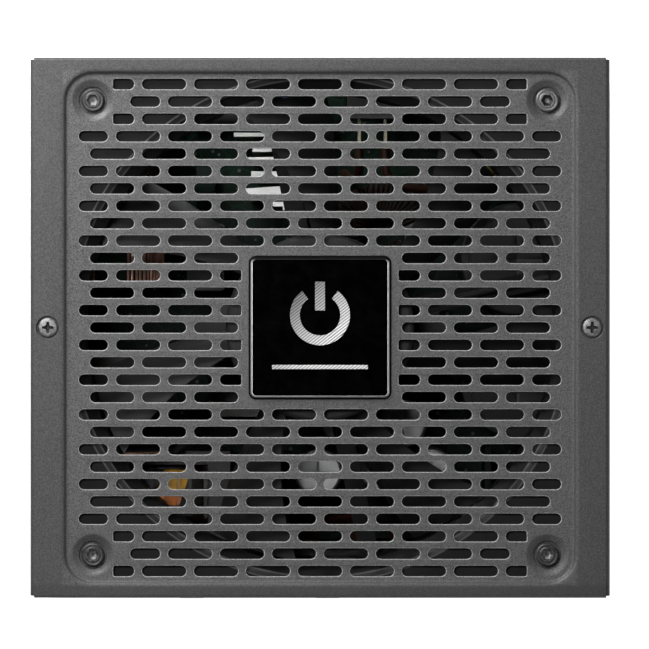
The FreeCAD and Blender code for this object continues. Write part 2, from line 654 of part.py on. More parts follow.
def make_stator():
    """Four-pole stator core and its coils."""
    low = stator_low
    core = ring(stator_core_r, tube_outer_r, stator_h, V(0, 0, low))
    tips = ring(stator_r, stator_tip_in, stator_h, V(0, 0, low))
    half = stator_pole_w / 2
    pole = box(stator_core_r - past, stator_tip_in + past, -half, half, low, low + stator_h)
    slot = box(0, stator_r + past, -stator_gap_w / 2, stator_gap_w / 2, low, low + stator_h)
    poles = [at_angle(pole, 90 * i) for i in range(4)]
    core = joined([core, tips] + poles)
    for i in range(4):
        gap = at_angle(slot, 45 + 90 * i)
        core = core.cut(gap.cut(rod(stator_tip_in, fan_h, V(0, 0, fan_bottom))))
    coil = box(coil_in, coil_out, -coil_w / 2, coil_w / 2, low - coil_over, low + stator_h + coil_over)
    coil = coil.cut(box(0, coil_out + past, -half, half, low, low + stator_h))
    return core, [at_angle(coil, 90 * i) for i in range(4)]


def make_fan():
    """Write every piece of the fan."""
    export("fan_frame", make_fan_frame())
    export("fan_impeller", make_impeller())
    export("rotor_cup", make_rotor_cup())
    magnet_base = V(0, 0, hub_bottom + magnet_rise)
    export("magnet_ring", ring(cup_inner_r, magnet_inner_r, magnet_h, magnet_base))
    export("fan_shaft", rod(shaft_r, hub_top - hub_skin / 2 - shaft_foot, V(0, 0, shaft_foot)))
    sleeve_h = sleeve_top - shaft_foot - sleeve_clear
    export("bearing_sleeve", ring(tube_inner_r, sleeve_bore_r, sleeve_h, V(0, 0, shaft_foot + sleeve_clear)))
    core, coils = make_stator()
    export("stator_core", core)
    export("stator_windings", *coils)
    pcb_base = V(0, 0, fan_bottom + hub_base_t)
    export("fan_pcb", ring(fan_pcb_r, tube_outer_r, fan_pcb_t, pcb_base))
    level = fan_bottom + hub_base_t + fan_pcb_t + lead_d / 2
    cos_a, sin_a = math.cos(math.radians(lead_angle)), math.sin(math.radians(lead_angle))
    route = [
        (lead_start * cos_a, lead_start * sin_a, level),
        (70.3, 70.3 * math.tan(math.radians(lead_angle)), level),
        (70.6, 13.0, level - 12.5),
        (70.4, 2.0, level - 30.0),
        (70.0, -17.0, level - 37.0),
        (header_x + 1.0, -32.0, level - 28.0),
        (header_x, header_y, level - 29.5),
        (header_x, header_y, plug_top),
    ]
    export("fan_lead", lead("fan_lead", route, lead_d))
    export("fan_header", block(header_x, header_y, board_top, header_w, header_d, header_h))
    plug_foot = board_top + header_h
    export("fan_plug", block(header_x, header_y, plug_foot, plug_w, plug_d, plug_top - plug_foot))


# ================================================================ mains inlet and switch
def make_bezel(x, z, w, h, corner_r):
    """Plate with rounded corners against the outside of the rear wall."""
    bezel = prism(rounded_square(w / 2, h / 2, corner_r, 0), bezel_t)
    bezel.rotate(CENTRE, X_AXIS, -90)
    bezel.translate(V(x, half_d, z))
    return bezel


def make_inlet():
    """Three-blade mains inlet and its contacts."""
    bezel = make_bezel(inlet_x, inlet_z, inlet_bezel_w, inlet_bezel_h, inlet_corner_r)
    w, h = inlet_w / 2, inlet_h / 2
    body = box(inlet_x - w, inlet_x + w, inlet_back, half_d, inlet_z - h, inlet_z + h)
    w, h, c = inlet_cavity_w / 2, inlet_cavity_h / 2, inlet_cut
    outline = [(-w, -h), (w, -h), (w, h - c), (w - c, h), (-w + c, h), (-w, h - c), (-w, -h)]
    cavity = Part.Face(Part.makePolygon([V(inlet_x + x, inlet_floor, inlet_z + z) for x, z in outline]))
    housing = bezel.fuse(body).cut(cavity.extrude(Y_AXIS * (rear_face - inlet_floor)))
    pins = []
    for x, z in inlet_pins:
        px, pz = inlet_x + x, inlet_z + z
        w, h = inlet_pin_w / 2, inlet_pin_h / 2
        blade = box(px - w, px + w, inlet_back, inlet_pin_tip, pz - h, pz + h)
        w, h = inlet_tab_t / 2, inlet_tab_h / 2
        pins.append(blade.fuse(box(px - w, px + w, inlet_tab_end, inlet_back, pz - h, pz + h)))
    return housing.cut(Part.makeCompound(pins)).removeSplitter(), pins


def make_switch():
    """Rocker switch: housing, rocker on its pivot pins, and two terminals."""
    bezel = make_bezel(switch_x, switch_z, switch_bezel_w, switch_bezel_h, switch_corner_r)
    w, h = switch_w / 2, switch_h / 2
    body = box(switch_x - w, switch_x + w, switch_back, half_d, switch_z - h, switch_z + h)
    w, h = switch_cavity_w / 2, switch_cavity_h / 2
    cavity = box(switch_x - w, switch_x + w, switch_floor, rear_face, switch_z - h, switch_z + h)
    half_hole = switch_cavity_w / 2 + rocker_hole_depth
    pivot_hole = rod(rocker_hole_r, 2 * half_hole, V(switch_x - half_hole, rocker_pivot_y, switch_z), X_AXIS)
    housing = bezel.fuse(body).cut(cavity).cut(pivot_hole).removeSplitter()

    pivot = V(switch_x - rocker_w / 2, rocker_pivot_y, switch_z)
    rocker = rod(rocker_r, rocker_w, pivot, X_AXIS)
    reach = 3 * rocker_r
    rocker = rocker.cut(box(0, reach, rocker_pivot_y - reach, rocker_pivot_y - rocker_back, 0, 2 * reach))
    for side in (-1, 1):
        front = rocker_pivot_y + rocker_front
        wedge = box(0, reach, front, front + reach, switch_z - reach, switch_z + reach)
        wedge.rotate(V(0, front, switch_z), X_AXIS, side * rocker_tilt)
        rocker = rocker.cut(wedge)
    half_pin = rocker_w / 2 + rocker_pin_reach
    pin = rod(rocker_pin_r, 2 * half_pin, V(switch_x - half_pin, rocker_pivot_y, switch_z), X_AXIS)
    rocker = joined([rocker, pin])
    rocker.rotate(V(0, rocker_pivot_y, switch_z), X_AXIS, -rocker_tilt)
    tab_low, tab_long = switch_z + switch_tab_z - switch_tab_h / 2, switch_back - switch_tab_end
    tab_mid = (switch_tab_end + switch_back) / 2
    tabs = [block(switch_x + x, tab_mid, tab_low, switch_tab_t, tab_long, switch_tab_h) for x in switch_tabs]
    return housing, rocker, tabs


def make_mains_side():
    """Write the inlet, the switch and the wires between them and the board."""
    housing, pins = make_inlet()
    export("ac_inlet", housing)
    export("ac_inlet_pins", *pins)
    housing, rocker, tabs = make_switch()
    export("switch_housing", housing)
    export("switch_rocker", rocker)
    export("switch_terminals", *tabs)
    live_x, neutral_x, earth_x = (inlet_x + x for x, _ in inlet_pins)
    live_z, earth_z = inlet_z + inlet_pins[0][1], inlet_z + inlet_pins[2][1]
    left_tab, right_tab = (switch_x + x for x in switch_tabs)
    tab_z = switch_z + switch_tab_z
    to_switch = [
        (live_x, inlet_tab_end, live_z),
        (live_x, 38.5, live_z),
        (28.0, 36.5, 30.5),
        (right_tab, 39.5, tab_z),
        (right_tab, switch_tab_end, tab_z),
    ]
    from_switch = [
        (left_tab, switch_tab_end, tab_z),
        (left_tab, 41.0, tab_z),
        (left_tab - 2.0, 39.8, 21.0),
        (left_tab - 4.0, 42.0, 15.0),
        (left_tab - 4.0, 42.0, board_top),
    ]
    neutral = [
        (neutral_x, inlet_tab_end, live_z),
        (neutral_x, 38.0, live_z),
        (neutral_x, 38.0, board_top),
    ]
    earth = [
        (earth_x, inlet_tab_end, earth_z),
        (earth_x, 37.5, earth_z),
        (earth_x - 1.5, 38.5, 17.0),
        (earth_x - 1.5, 38.5, board_top),
    ]
    export("live_wires", lead("to_switch", to_switch, wire_d), lead("from_switch", from_switch, wire_d))
    export("neutral_wire", lead("neutral", neutral, wire_d))
    export("earth_wire", lead("earth", earth, wire_d))


# ================================================================ boards and output sockets
def make_boards():
    """Write the main board with what holds it, the modular board and the bars between them."""
    main = box(-main_x, main_x, main_y0, main_y1, main_under, board_top)
    sheet = box(-main_x, main_x, main_y0, main_y1, insulator_z, insulator_z + insulator_t)
    screw = pan_screw(pan_head_r, pan_head_h, standoff_hole_r, board_top, board_screw_end, board_cross)
    post_h = main_under - sheet_t
    export("main_pcb", drilled(main, board_hole_r, standoffs))
    export("insulating_sheet", drilled(sheet, sheet_hole_r, standoffs))
    post = ring(standoff_r, standoff_hole_r, post_h, V(0, 0, sheet_t))
    export("pcb_standoffs", *[moved(post, x, y) for x, y in standoffs])
    export("pcb_screws", *[moved(screw, x, y) for x, y in standoffs])
    export("modular_pcb", box(-modular_x, modular_x, modular_front, modular_back, modular_z0, modular_z1))
    bars = []
    for x in busbar_x:
        x0, x1 = x - busbar_w / 2, x + busbar_w / 2
        wall = box(x0, x1, modular_back, modular_back + busbar_t, board_top, board_top + busbar_h)
        foot_end = modular_back + busbar_t + busbar_foot
        foot = box(x0, x1, modular_back, foot_end, board_top, board_top + busbar_t)
        bars.append(joined([wall, foot]))
    export("output_busbars", *bars)


def make_socket(x, z, w, h):
    """Open shroud of an output socket with its latch ledge."""
    outer = box(x - w / 2, x + w / 2, socket_face, modular_front, z - h / 2, z + h / 2)
    ledge = box(x - latch_w / 2, x + latch_w / 2, socket_face, -half_d - 0.1, z + h / 2, z + h / 2 + latch_h)
    w, h = w / 2 - socket_wall, h / 2 - socket_wall
    cavity = box(x - w, x + w, socket_face, modular_front - socket_floor, z - h, z + h)
    return joined([outer, ledge]).cut(cavity)


def socket_pin_grid(x, z, columns, pitch):
    """Two rows of contact pins standing on a socket's floor."""
    mid_y, half = modular_front - socket_floor - socket_pin_len / 2, socket_pin / 2
    pins = []
    for i in range(columns):
        px = x + (i - (columns - 1) / 2) * pitch
        for pz in (z - pin_pitch / 2, z + pin_pitch / 2):
            pins.append(block(px, mid_y, pz - half, socket_pin, socket_pin_len, socket_pin))
    return pins


def make_output_sockets():
    """Write the sockets in the front wall and their pins."""
    pins = []
    groups = {
        "motherboard_sockets": board_sockets,
        "eight_pin_sockets": eight_pin_sockets,
        "six_pin_sockets": six_pin_sockets,
    }
    for name, places in groups.items():
        export(name, *[make_socket(x, z, n * pin_pitch + 2 * socket_wall, socket_h) for x, z, n in places])
        for x, z, n in places:
            pins += socket_pin_grid(x, z, n, pin_pitch)
    export("graphics_socket", make_socket(*all_sockets()[-1]))
    pins += socket_pin_grid(graphics_x, row_top, graphics_columns, graphics_pitch)
    export("socket_pins", *pins)


# ================================================================ components
def toroid(core, wind, width, sectors):
    """Ring core about Z and its winding as hollow sectors. core and wind are (outer, inner) radii."""
    body = ring(core[0], core[1], width, V(0, 0, -width / 2))
    half = width / 2 + winding_over
    skin = ring(wind[0], wind[1], 2 * half, V(0, 0, -half)).cut(body)
    parts = []
    reach, tall = wind[0] + past, half + past
    for start, sweep in sectors:
        square = [V(0, 0, -tall), V(reach, 0, -tall), V(reach, 0, tall), V(0, 0, tall)]
        wedge = Part.Face(Part.makePolygon(square + square[:1])).revolve(CENTRE, Z_AXIS, sweep)
        parts.append(at_angle(skin.common(wedge), start))
    return body, parts


def make_chokes():
    """Write the two mains filter chokes, which stand on edge, and the flat PFC choke."""
    cores, windings = [], []
    for (x, y), size in ((front_choke, front_choke_size), (rear_choke, rear_choke_size)):
        body, turns = toroid(*size)
        for shape in [body] + turns:
            shape.rotate(CENTRE, X_AXIS, 90)
            shape.translate(V(x, y, board_top + size[1][0]))
        cores.append(body)
        windings += turns
    export("filter_choke_cores", *cores)
    export("filter_choke_windings", *windings)
    body, turns = toroid(*pfc_choke_size)
    for shape in [body] + turns:
        shape.translate(V(*pfc_choke, board_top + pfc_choke_size[2] / 2 + winding_over))
    export("pfc_choke_core", body)
    export("pfc_choke_winding", *turns)


def cans(centres, r, h, edge_r):
    """Round capacitors standing on the main board."""
    return [softened(rod(r, h, V(x, y, board_top)), edge_r, at_height(board_top + h)) for x, y in centres]


def make_mains_components():
    """Write what stands between the inlet and the bulk capacitors."""
    export("x_capacitors", *[softened(on_board(*size), case_corner_r, upright) for size in x_cap_boxes])
    y_cap_z = board_top + y_cap_rise
    export("y_capacitors", *[rod(y_cap_r, y_cap_t, V(x, y_cap_y, y_cap_z), X_AXIS) for x in y_cap_x])
    export("fuse", rod(fuse_r, fuse_len, V(*fuse_place, board_top + fuse_r), X_AXIS))
    thermistor_base = V(*thermistor_place, board_top + thermistor_r)
    export("thermistor", rod(thermistor_r, thermistor_t, thermistor_base, X_AXIS))
    export("relay", softened(on_board(*relay_box), relay_corner_r, upright))

    foot, top = board_top + foot_rise, bridge_plate_top
    plate_in, plate_out = bridge_plate_x
    pieces = [box(plate_in, plate_out, *bridge_plate_y, foot, top)]
    pieces += [box(x, plate_in, y - t / 2, y + t / 2, foot, top) for y, x, t in bridge_fins]
    broad = box(*broad_fin_x, *broad_fin_y, foot, top)
    broad.rotate(V(plate_in, sum(broad_fin_y) / 2, 0), Z_AXIS, broad_fin_turn)
    export("bridge_heatsink", joined(pieces + [broad]))
    bridge = softened(box(*bridge_x, *bridge_y, *bridge_z), bridge_edge_r, at_height(bridge_z[1]))
    leg_x = sum(bridge_x) / 2
    legs = [block(leg_x, y, board_top, leg_t, leg_w, bridge_z[0] - board_top) for y in bridge_legs]
    export("bridge_rectifier", joined([bridge] + legs))
    export("bulk_capacitors", *cans(bulk_centres, bulk_r, bulk_h, bulk_edge_r))


def make_primary_side():
    """Write the cooled transistors, the resonant choke and the standby transformer."""
    foot = board_top + foot_rise
    plate = box(*primary_x, *primary_y, foot, primary_top)
    fins = [box(*primary_x, primary_fin_end, primary_y[0], z, z + primary_fin_t) for z in primary_fins]
    export("primary_heatsink", joined([plate] + fins))
    transistors = []
    low, high = transistor_z
    for x in transistor_x:
        body = box(x, x + transistor_w, primary_y[1], primary_y[1] + transistor_t, low, high)
        starts = [x + shift for shift in transistor_legs]
        legs = [box(lx, lx + transistor_leg_t, *transistor_leg_y, board_top, low) for lx in starts]
        transistors.append(joined([body] + legs))
    export("primary_transistors", *transistors)
    export("resonant_choke", softened(on_board(*resonant_box), resonant_r, upright))
    export("standby_transformer", softened(on_board(*standby_box), standby_r, upright))


def make_transformer():
    """Write the main transformer's core, its winding and the lead that comes over its edge."""
    (x0, x1), (y0, y1), (z0, z1) = transformer_x, transformer_y, transformer_z
    in0, in1, mid_y, mid_z = x0 + core_end, x1 - core_end, (y0 + y1) / 2, (z0 + z1) / 2
    centre_leg = rod(core_mid_r, in1 - in0, V(in0, mid_y, mid_z), X_AXIS)
    core = joined([
        box(x0, in0, y0, y1, z0, z1),
        box(in1, x1, y0, y1, z0, z1),
        box(in0, in1, y0, y0 + core_leg, z0, z1),
        box(in0, in1, y1 - core_leg, y1, z0, z1),
        centre_leg,
    ])
    wound = box(in0, in1, y0 + core_leg, y1 - core_leg, z0, z1 + tape_rise)
    wound = softened(wound, tape_r, at_height(z1 + tape_rise)).cut(centre_leg)
    export("transformer_core", core)
    export("transformer_winding", wound)
    litz_z = z1 + litz_d / 2 + 0.05
    litz = [
        (x0 + 1.5, y1 - 1.6, litz_z),
        (x0 + 9.0, y1 - 1.4, litz_z),
        (x0 + 16.0, y1 - 1.2, litz_z + 1.3),
        (x0 + 22.5, y1 + 3.4, litz_z - 0.6),
        (x0 + 23.5, y1 + 4.2, litz_z - 12.0),
    ]
    export("transformer_lead", lead("transformer_lead", litz, litz_d))


def make_secondary_side():
    """Write the output rectifiers' plate, the output capacitors and coils, and the upright boards."""
    plate = box(*secondary_x, *secondary_y, board_top + foot_rise, secondary_top)
    against = secondary_x[1]
    rectifiers = [box(against, against + rectifier_t, y, y + rectifier_w, *rectifier_z) for y in rectifier_y]
    export("secondary_heatsink", joined([plate] + rectifiers))
    export("output_capacitors", *cans(output_caps, output_cap_r, output_cap_h, output_cap_edge_r))
    coil_z = board_top + coil_r
    export("output_coils", *[rod(coil_r, coil_len, V(x, coil_y, coil_z), X_AXIS) for x in coil_x])
    export("daughter_boards", *[on_board(*size) for size in daughter_boxes])


def main():
    """Write every node."""
    os.makedirs("parts", exist_ok=True)
    export("base_chassis", make_base_chassis())
    export("top_cover", make_top_cover())
    export("fan_screws", *make_fan_screws())
    export("cover_screws", *make_cover_screws())
    frame, face = make_badge()
    export("badge_frame", frame)
    export("badge_plate", face)
    make_fan()
    make_mains_side()
    make_boards()
    make_output_sockets()
    make_chokes()
    make_mains_components()
    make_primary_side()
    make_transformer()
    make_secondary_side()


main()
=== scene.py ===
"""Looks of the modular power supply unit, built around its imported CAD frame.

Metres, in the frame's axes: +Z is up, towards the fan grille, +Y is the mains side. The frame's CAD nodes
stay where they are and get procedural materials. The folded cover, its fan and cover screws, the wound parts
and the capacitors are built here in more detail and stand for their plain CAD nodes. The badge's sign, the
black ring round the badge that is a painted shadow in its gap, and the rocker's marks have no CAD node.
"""

import json
import math
import random

import bmesh
import bpy
from mathutils import Matrix, Vector


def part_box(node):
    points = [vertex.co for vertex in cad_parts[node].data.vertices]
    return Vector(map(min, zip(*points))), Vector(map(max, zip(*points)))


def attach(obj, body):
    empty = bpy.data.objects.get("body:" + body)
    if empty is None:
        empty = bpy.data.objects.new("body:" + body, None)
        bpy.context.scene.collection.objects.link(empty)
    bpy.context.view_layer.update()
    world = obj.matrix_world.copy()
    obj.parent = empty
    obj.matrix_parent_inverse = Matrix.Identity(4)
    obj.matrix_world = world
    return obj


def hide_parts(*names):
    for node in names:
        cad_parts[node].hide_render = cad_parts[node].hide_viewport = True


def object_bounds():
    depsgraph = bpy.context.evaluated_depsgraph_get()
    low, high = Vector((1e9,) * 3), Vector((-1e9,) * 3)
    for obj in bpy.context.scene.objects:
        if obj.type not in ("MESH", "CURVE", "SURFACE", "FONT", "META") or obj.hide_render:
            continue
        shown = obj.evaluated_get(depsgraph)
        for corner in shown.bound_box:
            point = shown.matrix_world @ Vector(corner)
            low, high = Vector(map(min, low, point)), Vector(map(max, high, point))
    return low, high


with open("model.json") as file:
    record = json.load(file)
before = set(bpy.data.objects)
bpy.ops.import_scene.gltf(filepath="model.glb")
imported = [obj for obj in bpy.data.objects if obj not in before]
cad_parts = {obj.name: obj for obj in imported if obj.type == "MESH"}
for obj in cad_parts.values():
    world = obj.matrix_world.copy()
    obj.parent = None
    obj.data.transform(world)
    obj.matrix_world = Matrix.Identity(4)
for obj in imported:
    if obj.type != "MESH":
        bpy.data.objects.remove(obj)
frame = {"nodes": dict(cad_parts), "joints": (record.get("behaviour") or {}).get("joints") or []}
cad_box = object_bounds()
nodes = frame["nodes"]

MM = 0.001
smooth_below = math.radians(42)
arc_steps = 7
rng = random.Random(12)

# the folded cover, read from the frame where it can be
cover_low, cover_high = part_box("top_cover")
sheet_t = 0.8 * MM
bend_r = 1.2 * MM
edge_r = 0.2 * MM  # rounding that the powder coat leaves on a cut edge
fan_hole = 58.8 * MM
cover_screw_x = 70.4 * MM
cover_screw_seat = cover_high.z - 0.8 * MM

# the pressed panel and its slots
recess_half = 64.7 * MM
panel_z = cover_high.z - 1.0 * MM
slot_len, slot_w = 11.4 * MM, 2.75 * MM
slot_pitch_x, slot_pitch_y = 13.45 * MM, 4.5 * MM
slot_rows = 14  # each side of the middle row
last_badge_row = 4  # rows up to this one meet the badge
slot_end_r = slot_w / 2 - 0.02 * MM
square_end_r = 0.5 * MM
corner_row_end = 53.5 * MM  # where the outer slots stop beside the corner dimples
short_slot = (54.9 * MM, 62.4 * MM)
last_short_row = 11
trimmed_row, trimmed_slot_end = 13, 49.1 * MM
badge_keep_out = 20.35 * MM

# sections in mm, as (half size or radius, depth): the recess step, a dimple and the head of a fan screw
recess_section = (
    (67.25, 0.0), (66.7, 0.03), (66.35, 0.09), (66.1, 0.22), (65.95, 0.5), (65.82, 0.8), (65.66, 0.93),
    (65.35, 0.985), (64.7, 1.0),
)
dimple_section = (
    (5.6, 0.0), (5.35, 0.03), (5.0, 0.13), (4.6, 0.33), (4.2, 0.53), (3.85, 0.65), (3.6, 0.72), (3.46, 0.85),
    (3.4, 1.4), (2.25, 1.4), (2.25, 2.2), (4.4, 2.2), (5.7, 0.8),
)
fan_screw_head = (
    (2.1, 1.5), (2.96, 1.5), (3.0, 1.44), (3.0, 0.3), (2.93, 0.12), (2.78, 0.01), (2.6, 0.0), (2.5, 0.1),
    (2.1, 0.12), (1.98, 0.02), (1.75, 0.0),
)
hex_socket = ((2.8, 0.02), (2.5, 0.22), (2.3, 1.0), (1.0, 1.3))  # (width across the flats, depth)

# places where a material changes, as the photo shows them
far_screw_from = 95 * MM  # x + y past which a screw has another tone
litz_sleeve_x = -42 * MM
yellow_earth_x = 44.4 * MM
plain_coil_x = 12 * MM
# painted shade: the yellow tape is near black outside this lit patch
lit_tape_patch = ((-41.4 * MM, -47.2 * MM), (-34.4 * MM, -38.0 * MM))
# painted shade: the bridge heatsink is darkened below this depth from its top
lit_fin_depth = 2.2 * MM

core_hole = 0.556  # radius of a ring core's hole, as a share of its outer radius


# ================================================ meshes
def finished(bm, name, body, material, stands_for=(), second=None):
    """Object of a mesh that rides on a body, smooth except at its sharp edges."""
    bmesh.ops.recalc_face_normals(bm, faces=bm.faces)
    bm.normal_update()
    for edge in bm.edges:
        edge.smooth = len(edge.link_faces) == 2 and edge.calc_face_angle(0.0) < smooth_below
    for face in bm.faces:
        face.smooth = True
    mesh = bpy.data.meshes.new(name)
    bm.to_mesh(mesh)
    bm.free()
    mesh.materials.append(material)
    if second:
        mesh.materials.append(second)
    piece = bpy.data.objects.new(name, mesh)
    bpy.context.scene.collection.objects.link(piece)
    weighted = piece.modifiers.new("weighted_normals", "WEIGHTED_NORMAL")
    weighted.keep_sharp = True
    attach(piece, body)
    if stands_for:
        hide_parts(*stands_for)


def ring_of(bm, points):
    """Vertices at the given points, in order."""
    return [bm.verts.new(p) for p in points]


def bridge(bm, first, second):
    """Quads between two closed rings with the same number of vertices."""
    for i in range(len(first)):
        j = (i + 1) % len(first)
        bm.faces.new((first[i], first[j], second[j], second[i]))


def skin(bm, rings):
    """Bridge each ring to the next."""
    for first, second in zip(rings, rings[1:]):
        bridge(bm, first, second)


def fill(bm, loops):
    """Flat face inside the first loop with the other loops as holes."""
    edges = []
    for loop in loops:
        for a, b in zip(loop, loop[1:] + loop[:1]):
            edges.append(bm.edges.get((a, b)) or bm.edges.new((a, b)))
    bmesh.ops.triangle_fill(bm, use_beauty=True, use_dissolve=False, edges=edges)


def outline(x0, x1, y0, y1, r_left, r_right, grow=0.0, steps=arc_steps):
    """Points round a rectangle with a corner radius for each end along X, grown outwards."""
    x0, x1, y0, y1 = x0 - grow, x1 + grow, y0 - grow, y1 + grow
    r_left, r_right = r_left + grow, r_right + grow
    corners = (
        (x0 + r_left, y0 + r_left, r_left, 180),
        (x1 - r_right, y0 + r_right, r_right, 270),
        (x1 - r_right, y1 - r_right, r_right, 0),
        (x0 + r_left, y1 - r_left, r_left, 90),
    )
    points = []
    for cx, cy, r, start in corners:
        for i in range(steps + 1):
            a = math.radians(start + 90 * i / steps)
            points.append((cx + r * math.cos(a), cy + r * math.sin(a)))
    return points


def circle(cx, cy, r, steps=40):
    """Points round a circle."""
    turn = 2 * math.pi / steps
    return [(cx + r * math.cos(turn * i), cy + r * math.sin(turn * i)) for i in range(steps)]


def second_material(bm, build):
    """Give the faces that a step of the build adds the piece's second material."""
    before = len(bm.faces)
    build()
    bm.faces.ensure_lookup_table()
    for face in bm.faces[before:]:
        face.material_index = 1


def at_height(points, z):
    """Level points in space."""
    return [(x, y, z) for x, y in points]


def below(z, section):
    """(size, height) pairs in metres from a section of (size, depth) pairs in mm."""
    return [(size * MM, z - depth * MM) for size, depth in section]


def rounding(r, steps=3):
    """(distance back from the corner, depth below it) round a quarter circle that softens an edge."""
    quarter = math.pi / 2
    return [
        (r * (1 - math.sin(quarter * i / steps)), r * (1 - math.cos(quarter * i / steps)))
        for i in range(steps + 1)
    ]


def turned(bm, cx, cy, profile, steps=48, cap=True):
    """Turned shape about a vertical axis from (radius, height) pairs. Returns its rings."""
    rings = [ring_of(bm, at_height(circle(cx, cy, r, steps), z)) for r, z in profile]
    skin(bm, rings)
    if cap:
        bm.faces.new(rings[0])
        bm.faces.new(rings[-1])
    return rings


def soft_box(bm, low, high, r):
    """Box with its edges rounded."""
    made = bmesh.ops.create_cube(bm, size=1.0)
    low, high = Vector(low), Vector(high)
    middle, size = (low + high) / 2, high - low
    for vert in made["verts"]:
        vert.co = middle + Vector(a * b for a, b in zip(vert.co, size))
    edges = {edge for vert in made["verts"] for edge in vert.link_edges}
    bmesh.ops.bevel(bm, geom=list(edges), offset=r, segments=2, profile=0.5, affect="EDGES")


def strand(bm, path, r, sides=8):
    """Round wire along a path, closed at both ends."""
    path = [Vector(p) for p in path]
    ways = [(b - a).normalized() for a, b in zip(path, path[1:])]
    tangents = [ways[0]] + [(a + b).normalized() for a, b in zip(ways, ways[1:])] + [ways[-1]]
    side, turn, rings = ways[0].orthogonal().normalized(), 2 * math.pi / sides, []
    for point, way in zip(path, tangents):
        side = (side - way * side.dot(way)).normalized()
        up = way.cross(side)
        around = [side * math.cos(turn * i) + up * math.sin(turn * i) for i in range(sides)]
        rings.append(ring_of(bm, [point + out * r for out in around]))
    skin(bm, rings)
    bm.faces.new(rings[0])
    bm.faces.new(rings[-1])


def solids(name):
    """Lowest and highest corner of each separate solid in a CAD node."""
    bm = bmesh.new()
    bm.from_mesh(nodes[name].data)
    bmesh.ops.remove_doubles(bm, verts=bm.verts, dist=0.001 * MM)
    boxes, seen = [], set()
    for seed in bm.verts:
        if seed in seen:
            continue
        island, front = [], [seed]
        seen.add(seed)
        while front:
            vert = front.pop()
            island.append(vert.co.copy())
            for edge in vert.link_edges:
                other = edge.other_vert(vert)
                if other not in seen:
                    seen.add(other)
                    front.append(other)
        boxes.append(tuple(Vector(pick(co[i] for co in island) for i in range(3)) for pick in (min, max)))
    bm.free()
    return sorted(boxes, key=lambda box: tuple(round(v, 5) for v in box[0]))


